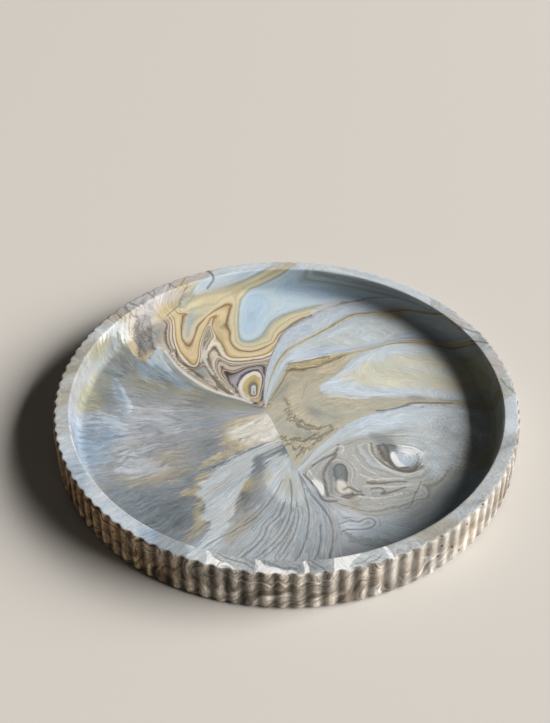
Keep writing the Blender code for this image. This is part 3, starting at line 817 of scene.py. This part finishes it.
def beside(lines, places):
    """How far each place lies to the left of the nearest line, in half widths; negative on the right."""
    out = np.full(len(places), 9.0)
    for half, line in lines:
        curve = smooth(line, step=1.5)
        for a, b in zip(curve, curve[1:]):
            near = close_to((a, b), places, 4)
            across = places[near] - a
            share = np.clip(across @ (b - a) / max((b - a) @ (b - a), 1e-9), 0, 1)
            far = np.hypot(*(across - share[:, None] * (b - a)).T)
            left = np.sign((b - a)[0] * across[:, 1] - (b - a)[1] * across[:, 0])
            out[near] = np.where(far / half < np.abs(out[near]), far / half * left, out[near])
    return out


def add_attribute(mesh, name, columns):
    """Writes three fields onto the mesh's points, as one vector."""
    values = np.zeros((len(mesh.vertices), 3), np.float32)
    for i, column in enumerate(columns):
        values[:, i] = column
    mesh.attributes.new(name, "FLOAT_VECTOR", "POINT").data.foreach_set("vector", values.ravel())


# Colours of patches, three to an attribute of the mesh
patch_groups = {
    "tints": ("ochre", "blue", "dark"), "pales": ("white", "pale", "sky"),
    "stains": ("olive", "cream", "lilac"), "washes": ("tan", "chalk", "peach"),
}


def mark_pattern(mesh):
    """Writes the drawn pattern onto the mesh as fields, which the material turns into colour."""
    everywhere = np.array(rolled)
    reach = np.hypot(*everywhere.T)
    drawn = reach < drawn_reach
    places = everywhere[drawn]

    def full(values, rest=0.0):
        """The values of the drawn places, with the rest value everywhere else."""
        out = np.full(len(everywhere), float(rest))
        out[drawn] = values
        return out

    loops = level_field(loop_lines, places)
    streams = level_field(stream_lines, places)
    fans = level_field(fan_lines, places)
    eddies = level_field(eddy_lines, places)
    in_loops = depth_inside(places, loop_region)
    in_streams = depth_inside(places, stream_region)
    in_eddies = depth_inside(places, eddy_region)
    from_seam = distance(places, np.array([hub, lower_hub]))[0]
    from_hub = np.hypot(*(places - hub).T)
    flow = np.select((in_loops > 0, in_streams > 0, in_eddies > 0), (loops, streams, eddies), fans)
    along = np.where(in_loops > 0, from_hub, from_seam)
    add_attribute(mesh, "rolled", (everywhere[:, 0], everywhere[:, 1], reach))
    far_off, outside, no_stroke = 9, -99, -3
    jagged, fine = (full(beside(strokes[name], places), far_off) for name in ("jagged", "fine"))
    add_attribute(mesh, "flow", (full(flow), full(along), jagged))
    add_attribute(mesh, "levels", (full(loops), full(streams), full(eddies)))
    add_attribute(mesh, "regions", [full(inside, outside) for inside in (in_loops, in_streams, in_eddies)])
    for name, inks in patch_groups.items():
        add_attribute(mesh, name, [full(patch_field(patches[ink], places)) for ink in inks])
    near = {ink: full(stroke_field(lines, places), no_stroke) for ink, lines in strokes.items()}
    add_attribute(mesh, "strokes", [near[ink] for ink in ("dark", "white", "jagged")])
    add_attribute(mesh, "lines", (fine, near["fine"], 0))
    valley = [flute_cut(math.atan2(y, x)) / flute_depth for x, y in everywhere]
    add_attribute(mesh, "edges", (full(depth_inside(places, lobe_region), outside), full(fans), valley))


def ink(red, green, blue):
    """A colour as it is seen in the tray's light, 0 to 255, as the surface colour behind it."""
    seen_light = 1.13
    linear = []
    for value in (red, green, blue):
        value /= 255
        linear.append((value / 12.92 if value <= 0.04045 else ((value + 0.055) / 1.055) ** 2.4) / seen_light)
    return (*linear, 1)


class Material:
    """A material or world whose nodes are made and joined by short calls."""

    def __init__(self, data):
        self.data = data
        self.data.use_nodes = True
        self.nodes = self.data.node_tree.nodes
        self.shader = self.nodes.get("Principled BSDF")

    def put(self, socket, value):
        if isinstance(value, bpy.types.NodeSocket):
            self.data.node_tree.links.new(value, socket)
        elif value is not None:
            socket.default_value = value

    def node(self, kind, values=(), output=0, **settings):
        node = self.nodes.new("ShaderNode" + kind)
        for key, value in settings.items():
            setattr(node, key, value)
        for i, value in enumerate(values):
            self.put(node.inputs[i], value)
        return node.outputs[output]

    def attribute(self, name):
        """The three fields of a vector attribute."""
        return self.split(self.node("Attribute", output=1, attribute_name=name))

    def object_place(self):
        """The place on the object, in mm."""
        return self.scale(self.node("TexCoord", output=3), (1 / MM, 1 / MM, 1 / MM))

    def split(self, vector):
        first = self.node("SeparateXYZ", (vector,))
        return [first.node.outputs[i] for i in range(3)]

    def join(self, x, y, z):
        return self.node("CombineXYZ", (x, y, z))

    def math(self, operation, a, b=None):
        return self.node("Math", (a, b), operation=operation)

    def add(self, a, b):
        return self.math("ADD", a, b)

    def minus(self, a, b):
        return self.math("SUBTRACT", a, b)

    def times(self, a, b):
        return self.math("MULTIPLY", a, b)

    def line(self, value, slope, start):
        """The value times slope, plus start."""
        return self.add(self.times(value, slope), start)

    def size_of(self, value):
        return self.math("ABSOLUTE", value)

    def blend(self, values, shares):
        """The values' weighted sum."""
        total = None
        for value, share in zip(values, shares):
            term = self.times(value, share)
            total = term if total is None else self.add(total, term)
        return total

    def scale(self, vector, factor):
        return self.node("VectorMath", (vector, factor), operation="MULTIPLY")

    def shift(self, vector, offset):
        return self.node("VectorMath", (vector, offset), operation="ADD")

    def dim(self, colour, light):
        return self.scale(colour, self.join(light, light, light))

    def warm(self, colour, light, warmth):
        """The colour with its light changed, and with more red and less blue."""
        return self.scale(colour, self.join(self.add(light, warmth), light, self.minus(light, warmth)))

    def noise(self, vector, scale, detail=3.0, roughness=0.55, output=0):
        node = self.nodes.new("ShaderNodeTexNoise")
        self.put(node.inputs["Vector"], vector)
        self.put(node.inputs["Scale"], scale)
        self.put(node.inputs["Detail"], detail)
        self.put(node.inputs["Roughness"], roughness)
        return node.outputs[output]

    def rise(self, value, low, high, top=1.0):
        """0 up to low, a smooth rise, top from high on."""
        return self.node("MapRange", (value, low, high, 0.0, top), interpolation_type="SMOOTHSTEP")

    def mix(self, share, a, b):
        node = self.nodes.new("ShaderNodeMix")
        node.data_type = "RGBA"
        for i, value in ((0, share), (6, a), (7, b)):
            self.put(node.inputs[i], value)
        return node.outputs[2]

    def ramp(self, value, stops):
        """Colour by level, from (level, colour) stops in rising order."""
        low, high = stops[0][0], stops[-1][0]
        place = self.node("MapRange", (value, low, high, 0.0, 1.0))
        ramp = self.node("ValToRGB", (place,))
        elements = ramp.node.color_ramp.elements
        places = [(level - low) / (high - low) for level, colour in stops]
        elements[0].position, elements[1].position = places[:2]
        for at in places[2:]:
            elements.new(at)
        for element, (level, colour) in zip(sorted(elements, key=lambda e: e.position), stops):
            element.color = ink(*colour)
        return ramp

    def long_ramp(self, value, stops, at):
        """A ramp with more stops than one node takes, split at the stop of level at."""
        lower = self.ramp(value, [s for s in stops if s[0] <= at])
        upper = self.ramp(value, [s for s in stops if s[0] >= at])
        return self.mix(self.math("GREATER_THAN", value, at), lower, upper)

    def finish(self, colour, roughness, bump_strength, bump_height):
        """Joins the surface's fields to the shader. Gives the finished material."""
        self.put(self.shader.inputs["Base Color"], colour)
        self.put(self.shader.inputs["Roughness"], roughness)
        bump = self.nodes.new("ShaderNodeBump")
        self.put(bump.inputs["Strength"], bump_strength)
        self.put(bump.inputs["Distance"], bump_distance)
        self.put(bump.inputs["Height"], bump_height)
        self.put(self.shader.inputs["Normal"], bump.outputs["Normal"])
        return self.data


# Inks by level, as (level, colour as it is seen) stops
loop_inks = [
    (-18, (162, 172, 178)), (-15.4, (152, 161, 164)), (-14, (188, 199, 205)), (-12.6, (148, 158, 158)),
    (-11.2, (190, 204, 214)), (-9.6, (158, 168, 168)), (-8.2, (186, 203, 216)), (-7, (178, 201, 221)),
    (-5.5, (188, 208, 223)), (-3, (196, 212, 222)), (-1.2, (190, 206, 216)), (-0.2, (150, 160, 162)),
    (0.4, (184, 180, 158)), (1.6, (206, 200, 172)), (2.6, (212, 202, 172)), (3.2, (190, 177, 146)),
    (4, (209, 199, 172)), (5.4, (215, 203, 174)), (6.3, (188, 168, 134)), (7, (120, 100, 78)),
    (7.7, (198, 178, 140)), (9, (216, 199, 168)), (10.6, (218, 200, 164)), (12, (204, 180, 134)),
    (12.8, (140, 122, 94)), (13.5, (216, 202, 178)), (14.3, (232, 224, 206)), (15.2, (104, 92, 80)),
    (15.9, (200, 189, 174)), (16.8, (210, 201, 190)), (17.7, (122, 112, 104)), (18.3, (206, 194, 176)),
    (19, (100, 90, 82)), (19.8, (188, 178, 166)), (21.2, (202, 190, 176)), (22, (106, 96, 88)),
    (23, (178, 168, 158)), (24.2, (126, 120, 113)), (25, (60, 57, 55)), (25.7, (128, 122, 121)),
    (27.4, (172, 165, 168)), (28.2, (104, 92, 106)), (28.8, (76, 68, 72)), (29.3, (206, 199, 184)),
    (30.2, (214, 204, 178)), (30.8, (192, 174, 130)), (32.4, (192, 173, 124)), (33.4, (164, 144, 116)),
    (34.2, (118, 116, 114)), (35.4, (130, 130, 128)), (36.2, (216, 216, 213)), (37.2, (118, 116, 114)),
]
stream_inks = [
    (-8, (172, 188, 204)), (-3, (166, 176, 184)), (-1, (146, 146, 142)), (0, (122, 118, 114)),
    (0.8, (196, 203, 212)), (2.2, (187, 199, 212)), (3.4, (190, 202, 213)), (4.5, (190, 192, 184)),
    (5, (138, 130, 108)), (5.5, (194, 194, 180)), (6.8, (187, 199, 209)), (8, (195, 205, 212)),
    (10, (196, 205, 208)), (12, (184, 196, 208)), (13.6, (166, 180, 202)), (14.5, (172, 184, 202)),
    (15, (214, 214, 206)), (15.7, (176, 163, 132)), (17, (190, 182, 160)), (18.2, (180, 172, 148)),
    (19, (128, 118, 96)), (20, (182, 176, 156)), (26, (184, 179, 162)), (36, (183, 180, 166)),
    (44, (182, 179, 164)), (46, (188, 186, 174)),
]
eddy_inks = [
    (-6, (150, 154, 162)), (-2, (176, 182, 190)), (0, (150, 152, 150)), (0.8, (196, 204, 212)),
    (4, (193, 204, 212)), (8, (189, 198, 205)), (12, (184, 191, 195)), (15, (172, 173, 170)),
    (17, (184, 185, 181)), (19, (144, 145, 141)), (21, (190, 192, 190)), (23, (170, 172, 171)),
    (25, (188, 190, 189)), (27, (160, 162, 162)), (29, (192, 194, 192)), (31, (162, 164, 163)),
    (33, (192, 191, 186)), (35, (108, 106, 103)), (38, (142, 142, 142)), (42, (176, 188, 202)),
    (48, (190, 204, 220)),
]
fan_inks = [
    (-4, (174, 179, 178)), (0, (170, 175, 174)), (2.5, (146, 150, 147)), (8, (132, 136, 133)),
    (14, (140, 143, 141)), (22, (146, 150, 150)), (30, (153, 157, 160)), (38, (156, 161, 169)),
    (46, (153, 157, 161)), (54, (145, 148, 151)), (62, (134, 139, 144)), (70, (120, 128, 135)),
    (82, (138, 144, 150)), (90, (167, 173, 178)), (104, (168, 175, 180)), (116, (170, 177, 183)),
    (128, (164, 169, 177)),
]
lobe_inks = [
    (-1.0, (176, 178, 172)), (0.4, (186, 198, 208)), (2.5, (198, 210, 218)), (5, (203, 209, 210)),
    (8, (205, 208, 200)), (12, (206, 208, 194)), (16, (205, 207, 194)), (20, (204, 209, 206)),
]
rim_inks = [
    (0.25, (142, 144, 143)), (0.38, (170, 175, 178)), (0.46, (206, 209, 210)), (0.54, (176, 182, 188)),
    (0.62, (208, 205, 199)), (0.75, (188, 197, 206)),
]
wall_inks = [
    (3.0, (194, 188, 178)), (6.6, (182, 176, 166)), (9.0, (188, 182, 173)), (11.4, (156, 147, 136)),
    (14.0, (188, 183, 175)), (17.0, (174, 168, 158)),
]
base_inks = [
    (0.3, (110, 112, 116)), (0.42, (150, 150, 148)), (0.5, (186, 188, 186)), (0.56, (146, 148, 150)),
    (0.64, (176, 164, 138)), (0.72, (160, 176, 190)),
]

# Patches: name, colour, strength, depth of full strength, streaks and cross layers, from the lowest up
patch_looks = [
    ("olive", (142, 139, 110), 0.7, 1.1, 1.4, 0.8),
    ("lilac", (187, 190, 197), 0.6, 0.9, 1.3, 1.2),
    ("cream", (182, 179, 179), 0.85, 0.8, 1.8, 1.2),
    ("sky", (204, 216, 228), 0.6, 0.75, 0.9, 0.3),
    ("dark", (112, 121, 127), 0.6, 1.1, 1.8, 1.6),
    ("blue", (143, 164, 184), 0.6, 1.0, 1.8, 1.2),
    ("ochre", (188, 174, 138), 0.66, 1.0, 1.3, 0.6),
    ("pale", (196, 203, 207), 0.8, 0.85, 1.1, 0.5),
    ("chalk", (224, 221, 212), 0.85, 0.9, 1.2, 0.0),
    ("tan", (160, 152, 130), 0.55, 1.1, 1.3, 0.6),
    ("peach", (203, 188, 160), 0.34, 1.1, 1.3, 0.8),
    ("white", (238, 239, 240), 0.95, 0.7, 0.9, 0.0),
]

# Azimuths, in degrees, and heights above the base, in mm, of the pits in the outer wall
pits = [(305.1, 18.4), (312.9, 15.8), (305.35, 12.9), (311.6, 2.4), (308.8, 8.0), (318.9, 18.3), (304.6, 7.4)]

# Height of the materials' bumps, in metres
bump_distance = 0.0001


class Marble(Material):
    """The tray's material, with the fields of the marbling that all its layers share."""

    def __init__(self):
        super().__init__(bpy.data.materials.new("marble"))
        self.u, self.v, self.reach = self.attribute("rolled")
        flow, self.along, self.jagged = self.attribute("flow")
        self.loops, self.streams, self.eddies = self.attribute("levels")
        self.in_loops, self.in_streams, self.in_eddies = self.attribute("regions")
        self.patch = {}
        for name, inks in patch_groups.items():
            self.patch.update(zip(inks, self.attribute(name)))
        self.dark_stroke, self.white_stroke, self.jagged_stroke = self.attribute("strokes")
        self.in_lobe, self.fans, self.valley = self.attribute("edges")
        self.fine_line, self.near_fine = self.attribute("lines")[:2]
        self.flat = self.join(self.u, self.v, 0.0)
        self.solid = self.object_place()

        self.cloud = self.noise(self.flat, 0.11, 4)
        self.grain = self.noise(self.flat, 0.9, 3, 0.6)
        self.fine = self.line(self.noise(self.flat, 2.6, 3, 0.7), 1.2, 0.4)
        self.bent = self.add(flow, self.blend((self.cloud, self.grain), (3.5, 0.5)))
        self.broad = self.noise(self.stretched(0.06, 0.0), 0.17, 3, 0.5)
        self.tinge = self.noise(self.stretched(0.12, 15.0), 0.35, 4, 0.6)
        # The streaks fade where the right of the eddies is smooth
        smooth_part = self.times(self.rise(self.u, 50.0, 62.0), self.rise(self.in_eddies, 2.0, 8.0))
        streak = self.noise(self.stretched(0.06, 0.0), 0.8, 5, 0.6)
        hair = self.noise(self.stretched(0.1, 7.0), 2.4, 3, 0.6)
        self.streak = self.add(streak, self.times(self.minus(self.cloud, streak), smooth_part))
        self.hair = self.add(hair, self.times(self.minus(self.grain, hair), smooth_part))
        # Layers that lie across the flow, drawn out into teeth along it
        teeth = self.add(self.along, self.blend((self.streak, self.hair), (34.0, 12.0)))
        across = self.join(self.times(self.bent, 0.06), self.times(teeth, 0.07), 3.0)
        self.cross = self.noise(across, 1.0, 4, 0.55)

    def stretched(self, share, layer):
        """The place for a noise whose forms are drawn out along the flow, the more the smaller the share."""
        return self.join(self.bent, self.times(self.along, share), layer)

    def wobbled(self, level, wide, fine):
        """The level with its lines made uneven, by wide bends and fine ones."""
        bends = self.blend((self.cloud, self.grain), (wide, fine))
        return self.add(level, self.add(bends, -(wide + fine) / 2))

    def shaded(self, colour, streaks, hairs, clouds, layers=0.0, tints=0.3):
        """The colour, made lighter and darker, bluer and yellower along the flow."""
        values, shares = (self.streak, self.hair, self.broad, self.cross), (streaks, hairs, clouds, layers)
        light = self.add(self.blend(values, shares), 1 - sum(shares) / 2)
        return self.warm(colour, light, self.line(self.tinge, tints, -tints / 2))


def dish_colour(m):
    """The fans, the eddies, the streams and the folded loops, each with its own inks."""
    fan = m.ramp(m.add(m.blend((m.fans, m.broad, m.cross), (1.0, 14.0, 30.0)), -22.0), fan_inks)
    fan = m.shaded(fan, 0.85, 1.0, 0.2, 0.8)
    # The dark streaks of the lowest levels show only where the lobe runs up the wall
    up_the_wall = m.times(m.rise(m.reach, 85.0, 91.0), m.rise(m.u, 2.0, 34.0, 20.0))
    loops = m.math("MAXIMUM", m.loops, m.minus(-7.2, up_the_wall))
    loop = m.shaded(m.long_ramp(m.wobbled(loops, 1.4, 0.8), loop_inks, 14.3), 0.5, 0.4, 0.2)
    band = m.shaded(m.ramp(m.wobbled(m.streams, 1.0, 1.0), stream_inks), 0.55, 0.7, 0.15, 0.15, 0.2)
    lobe = m.ramp(m.add(m.blend((m.in_lobe, m.streak, m.broad), (1.0, 9.0, 9.0)), -9.0), lobe_inks)
    lobe = m.shaded(lobe, 0.5, 0.5, 0.2)
    inside_lobe = m.rise(m.add(m.in_lobe, m.blend((m.grain, m.streak), (1.6, 2.0))), 1.2, 2.6)
    band = m.mix(inside_lobe, band, lobe)
    eddy = m.shaded(m.ramp(m.wobbled(m.eddies, 6.0, 3.6), eddy_inks), 0.7, 0.7, 0.3)
    colour = m.mix(m.rise(m.wobbled(m.in_eddies, 0.0, 0.8), -0.3, 0.3), fan, eddy)
    colour = m.mix(m.rise(m.in_streams, -0.2, 0.2), colour, band)
    return m.mix(m.rise(m.wobbled(m.in_loops, 0.0, 0.6), -0.25, 0.25), colour, loop)


def rim_colour(m):
    """The rim, paler than the dish, with grey veins across it."""
    swirl = m.noise(m.flat, 0.06, 5, 0.6)
    veins = m.noise(m.join(m.times(swirl, 70.0), m.times(m.reach, 0.08), 0.0), 0.3, 5, 0.65)
    curl = m.add(m.times(m.noise(m.shift(m.flat, (0, 0, 5)), 0.22, 4, 0.6), 60.0), m.times(m.reach, 0.6))
    line = m.noise(m.join(curl, 0.0, 0.0), 0.4, 3, 0.6)
    light = m.add(m.blend((line, m.noise(m.flat, 0.4, 3, 0.5)), (0.7, 0.4)), 0.45)
    return m.dim(m.ramp(veins, rim_inks), light)


def with_patches(m, colour):
    """Patches, streaked and feathered along the flow, but crisp on the rim."""
    crisp = m.rise(m.reach, 100.5, 102.5)
    feather = m.add(m.blend((m.streak, m.hair, m.grain, m.cross), (1.8, 0.8, 0.5, 1.5)), -2.3)
    feather = m.times(feather, m.minus(1.0, m.times(crisp, 0.8)))
    for name, tint, strength, full_at, streaks, layers in patch_looks:
        value, rough = m.patch[name], 1.0
        if name == "chalk":
            # The wedge ends hard at the streams
            value, rough = m.times(value, m.rise(m.in_streams, 0.3, -0.3)), 0.25
        # Feathered most where the patch fades out
        fading = m.times(m.minus(1.0, value), value)
        inward = m.add(value, m.times(feather, m.blend((fading, value), (4.0 * rough, 0.4 * rough))))
        tint = m.shaded(ink(*tint)[:3], streaks, 0.8 * streaks, 0.0, layers)
        colour = m.mix(m.rise(inward, 0.15, full_at, strength), colour, tint)
    return colour


def with_lines(m, colour):
    """Drawn lines: smooth ones, and layers in the olive patch drawn out into teeth along the flow."""
    comb = m.noise(m.stretched(0.1, 21.0), 1.8, 2, 0.5)
    off = m.size_of(m.add(m.jagged, m.line(comb, 7.0, -3.5)))
    near_line = m.rise(m.jagged_stroke, -2.6, -1.4)
    colour = m.mix(m.times(near_line, m.rise(off, 1.1, 0.3, 0.6)), colour, ink(94, 90, 74))
    off = m.add(m.size_of(m.fine_line), m.blend((m.hair, m.streak), (1.2, 1.2)))
    near_line = m.rise(m.near_fine, -1.2, -0.3)
    colour = m.mix(m.times(near_line, m.rise(off, 2.4, 1.5, 0.5)), colour, ink(78, 80, 80))
    # Fainter lines beside the fine ones at the front
    twin = m.size_of(m.add(m.near_fine, m.add(m.blend((m.hair, m.streak), (0.8, 0.8)), 0.9)))
    twin = m.times(m.rise(twin, 0.6, 0.2, 0.5), m.rise(m.broad, 0.36, 0.64))
    colour = m.mix(m.times(twin, m.rise(m.v, -46.0, -62.0)), colour, ink(84, 88, 90))
    thin = m.add(m.blend((m.grain, m.hair, m.streak), (0.7, 0.7, 0.8)), -1.1)
    colour = m.mix(m.rise(m.add(m.dark_stroke, thin), 0.0, 1.0, 0.66), colour, ink(84, 79, 70))
    return m.mix(m.rise(m.add(m.white_stroke, thin), 0.0, 1.0, 0.7), colour, ink(226, 226, 222))


def shaded_wall(m, colour, contrast):
    """Fine upright and slanting streaks of light and dark, bluer and browner in broad places."""
    broad = m.noise(m.solid, 0.035, 2, 0.5)
    streaks = m.noise(m.scale(m.solid, (1, 1, 0.4)), 0.9, 3, 0.6)
    light = m.add(m.line(broad, 0.6, 0.7), m.times(m.add(streaks, -0.5), contrast))
    return m.warm(colour, light, m.line(m.noise(m.shift(m.solid, (90, 0, 0)), 0.05, 2), 0.3, -0.13))


def wall_colour(m):
    """The outer wall: slanted layers and dark lenses, with painted highlights on the crests of the flutes,
    painted shade in their valleys and a browner painted shade on the left.
    """
    height = m.split(m.solid)[2]
    lean = m.times(height, m.line(m.noise(m.solid, 0.04, 2), 9.0, -3.6))
    across = m.math("DIVIDE", lean, m.reach)
    leaning = m.join(m.times(m.v, across), m.times(m.u, m.times(across, -1.0)), 0.0)
    slant = m.noise(m.shift(m.scale(m.solid, (1, 1, 0.25)), leaning), 0.3, 4, 0.55)
    sway = m.noise(m.scale(m.solid, (1, 1, 0.8)), 0.06, 3, 0.5)
    side = m.ramp(m.add(m.times(height, 0.28), m.blend((sway, slant), (12.0, 5.0))), wall_inks)
    # Slanted dark lenses, pale flecks near the base, and a thin pale line that runs round below the rim
    # The shaded left side and the lit right side, which the painted light and shade below go by
    shaded_left, lit_right = m.rise(m.u, -20.0, -80.0), m.rise(m.u, 20.0, 75.0)
    lens = m.times(m.rise(slant, 0.5, 0.58), m.add(m.blend((shaded_left, lit_right), (0.2, -0.4)), 0.65))
    side = m.mix(lens, side, ink(92, 83, 74))
    fleck = m.add(slant, m.times(m.rise(height, 9.0, 4.0), -0.07))
    side = m.mix(m.rise(fleck, 0.4, 0.33, 0.75), side, ink(222, 217, 208))
    waver = m.add(height, m.line(m.noise(m.scale(m.solid, (1, 1, 0.05)), 0.1, 3, 0.6), 16.0, -22.4))
    line_at = m.add(m.size_of(waver), m.times(m.size_of(m.add(m.u, 2.0)), 0.02))
    pale_line = m.rise(m.minus(line_at, m.times(slant, 1.2)), 0.2, -0.3, 0.65)
    side = m.mix(pale_line, side, ink(226, 222, 214))
    side = shaded_wall(m, side, m.add(m.blend((shaded_left, lit_right), (1.6, -0.5)), 1.3))
    # Painted highlights on the crests and painted shade in the valleys, less of it on the lit right, and
    # painted shade on the lit right, most at the far right
    crest_highlight = m.rise(m.valley, 0.3, 0.0, 0.25)
    valley = m.times(m.valley, m.line(lit_right, 0.4, -0.85))
    light = m.times(m.fine, m.add(m.add(crest_highlight, 1.2), valley))
    light = m.times(light, m.add(m.blend((lit_right, m.rise(m.u, 88.0, 106.0)), (-0.1, -0.3)), 1.0))
    # Painted warm shade: the shaded left side loses some green and more blue
    painted_warm_shade = [m.times(light, m.minus(1.0, m.times(shaded_left, loss))) for loss in (0.22, 0.44)]
    return m.scale(side, m.join(light, *painted_warm_shade))


def pit_field(m):
    """1 in the pits that small bubbles left at the front right, and 0 elsewhere."""
    nearest = None
    for azimuth, up in pits:
        turn = math.radians(azimuth)
        radius = crest_radius_rim + base_flare * (rim_z - base_z - up) / (rim_z - base_z) - flute_cut(turn)
        middle = (radius * math.cos(turn), radius * math.sin(turn), base_z + up)
        far = m.node("VectorMath", (m.solid, middle), 1, operation="DISTANCE")
        nearest = far if nearest is None else m.math("MINIMUM", nearest, far)
    return m.rise(nearest, 0.8, 0.35)


def base_colour(m):
    """Broad grey clouds on the base."""
    drift = m.shift(m.noise(m.solid, 0.06, 2, 0.5, output=1), (-0.5, -0.5, -0.5))
    warped = m.shift(m.scale(m.solid, (0.8, 0.8, 1.3)), m.scale(drift, (22, 22, 40)))
    return m.ramp(m.noise(warped, 0.12, 4, 0.5), base_inks)


def marble_material():
    m = Marble()
    colour = m.mix(m.rise(m.reach, *rim_reach, 0.85), dish_colour(m), rim_colour(m))
    colour = with_lines(m, with_patches(m, colour))
    # Painted shade: the dish's wall is made a little darker than its floor
    wall_shade = m.times(m.rise(m.reach, *dish_wall_reach), m.rise(m.reach, 101.8, 100.8))
    colour = m.dim(colour, m.times(m.fine, m.minus(1.0, m.times(wall_shade, 0.08))))
    pit = pit_field(m)
    # Painted shade: the pits are coloured dark inside
    side = m.mix(m.times(pit, 0.8), wall_colour(m), ink(58, 50, 44))
    colour = m.mix(m.rise(m.reach, *outside_reach), colour, side)
    colour = m.mix(m.rise(m.reach, *base_reach), colour, base_colour(m))
    m.put(m.shader.inputs["Specular IOR Level"], 0.05)
    roughness = m.add(m.blend((m.grain, m.streak), (0.12, 0.08)), 0.5)
    return m.finish(colour, roughness, 0.12, m.minus(m.noise(m.solid, 1.4, 4, 0.6), m.times(pit, 3.0)))


def build_pad(name):
    """One round pad with softened edges, where the CAD has it."""
    low, high = (np.array(corner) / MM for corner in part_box(name))
    middle = (low + high) / 2
    radius = (high[0] - low[0]) / 2
    thick = high[2] - low[2]
    edge = 0.15
    profile = [(radius - edge, 0.0)]
    for lift in (0.5, 1.0, math.pi / 2):
        profile.append((radius - edge + edge * math.sin(lift), edge - edge * math.cos(lift)))
    profile += [(r, thick - z) for r, z in reversed(profile)]
    count = 64
    turns = [2 * math.pi * i / count for i in range(count)]
    bm = bmesh.new()
    rings = []
    for r, z in profile:
        spots = [(middle[0] + r * math.cos(a), middle[1] + r * math.sin(a), low[2] + z) for a in turns]
        rings.append([bm.verts.new([c * MM for c in spot]) for spot in spots])
    for inner, outer in zip(rings, rings[1:]):
        join_rings(bm, inner, outer)
    bm.faces.new(list(reversed(rings[0])))
    bm.faces.new(rings[-1])
    return finished(bm, name + "_look")


def rubber_material():
    """Dark rubber with a fine pebbled face and a little dust."""
    m = Material(bpy.data.materials.new("rubber"))
    solid = m.object_place()
    grain = m.noise(solid, 2.2, 4, 0.6)
    dust = m.noise(solid, 0.35, 5, 0.65)
    colour = m.mix(m.rise(grain, 0.35, 0.7, 0.6), (0.030, 0.030, 0.032, 1), (0.060, 0.059, 0.058, 1))
    colour = m.mix(m.rise(dust, 0.52, 0.75, 0.35), colour, (0.16, 0.15, 0.14, 1))
    return m.finish(colour, m.line(dust, 0.3, 0.62), 0.35, m.noise(solid, 3.5, 3, 0.6))


tray = build_tray()
mark_pattern(tray.data)
tray.data.materials.append(marble_material())
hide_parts("tray_body")
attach(tray, BODY)

rubber = rubber_material()
for number in (1, 2, 3, 4):
    pad = build_pad(f"anti_slip_pad_{number}")
    pad.data.materials.append(rubber)
    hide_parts(f"anti_slip_pad_{number}")
    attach(pad, BODY)

# Camera, as it stood for the photograph; distances in mm
camera_elevation = math.radians(39.68)
camera_distance = 479.99
camera_roll = math.radians(0.09)
camera_aim = (-4.95, 42.26)

# The floor, in metres, and where it fades into the background
floor_half = 3.0
floor_fade = (0.3, 2.2)
floor_color = (0.6, 0.575, 0.54)
backdrop_color = (0.655, 0.615, 0.56)


def add_camera():
    data = bpy.data.cameras.new("camera")
    data.lens = 50
    data.sensor_width = 36
    camera = placed("camera", data)
    back = Vector((0, -math.cos(camera_elevation), math.sin(camera_elevation)))
    camera.location = (Vector((*camera_aim, base_z)) + back * camera_distance) * MM
    turn = Matrix.Rotation(math.pi / 2 - camera_elevation, 4, "X") @ Matrix.Rotation(camera_roll, 4, "Z")
    camera.rotation_euler = turn.to_euler()
    bpy.context.scene.camera = camera


def looking_rays(m):
    """1 for rays that look, mirror or pass through, and 0 for rays that light things."""
    path = m.nodes.new("ShaderNodeLightPath")
    looking = path.outputs["Is Camera Ray"]
    for kind in ("Is Glossy Ray", "Is Transmission Ray"):
        looking = m.math("MAXIMUM", looking, path.outputs[kind])
    return looking


def floor_material():
    """A plain floor that turns into the background far away, for looking rays only."""
    m = Material(bpy.data.materials.new("floor"))
    m.put(m.shader.inputs["Base Color"], (*floor_color, 1))
    m.put(m.shader.inputs["Roughness"], 0.9)
    m.put(m.shader.inputs["Specular IOR Level"], 0.1)
    backdrop = m.node("Emission", ((*backdrop_color, 1),))
    out = m.node("VectorMath", (m.node("TexCoord", output=3),), 1, operation="LENGTH")
    far = m.node("MapRange", (out, *floor_fade), interpolation_type="SMOOTHERSTEP")
    mixed = m.node("MixShader", (m.times(far, looking_rays(m)), m.shader.outputs[0], backdrop))
    m.put(m.nodes["Material Output"].inputs["Surface"], mixed)
    return m.data


def add_floor():
    corners = [(-floor_half, -floor_half, 0), (floor_half, -floor_half, 0),
               (floor_half, floor_half, 0), (-floor_half, floor_half, 0)]
    mesh = bpy.data.meshes.new("floor")
    mesh.from_pydata(corners, [], [(0, 1, 2, 3)])
    mesh.materials.append(floor_material())
    floor = placed("floor", mesh)


def add_area(name, azimuth, elevation, distance, size, power, color):
    data = bpy.data.lights.new(name, "AREA")
    data.shape = "RECTANGLE"
    data.size, data.size_y = size
    data.energy = power
    data.color = color
    lamp = placed(name, data)
    az, el = math.radians(azimuth), math.radians(elevation)
    way = Vector((math.cos(el) * math.cos(az), math.cos(el) * math.sin(az), math.sin(el)))
    lamp.location = way * distance
    lamp.rotation_euler = way.to_track_quat("Z", "Y").to_euler()


def add_world(color, strength):
    """A dim even light, and a pale background that only looking and mirrored rays meet."""
    m = Material(bpy.data.worlds.new("world"))
    light = m.nodes["Background"]
    m.put(light.inputs["Color"], (*color, 1))
    m.put(light.inputs["Strength"], strength)
    backdrop = m.node("Background", ((*backdrop_color, 1),))
    mixed = m.node("MixShader", (looking_rays(m), light.outputs[0], backdrop))
    m.put(m.nodes["World Output"].inputs["Surface"], mixed)
    bpy.context.scene.world = m.data


add_camera()
add_floor()
key_color = (1.0, 0.975, 0.94)
add_area("key", azimuth=-4, elevation=29, distance=16.0, size=(13.6, 8.4), power=6400, color=key_color)
add_world(color=(1.0, 0.97, 0.9), strength=0.04)
bpy.context.scene.view_settings.view_transform = "Standard"
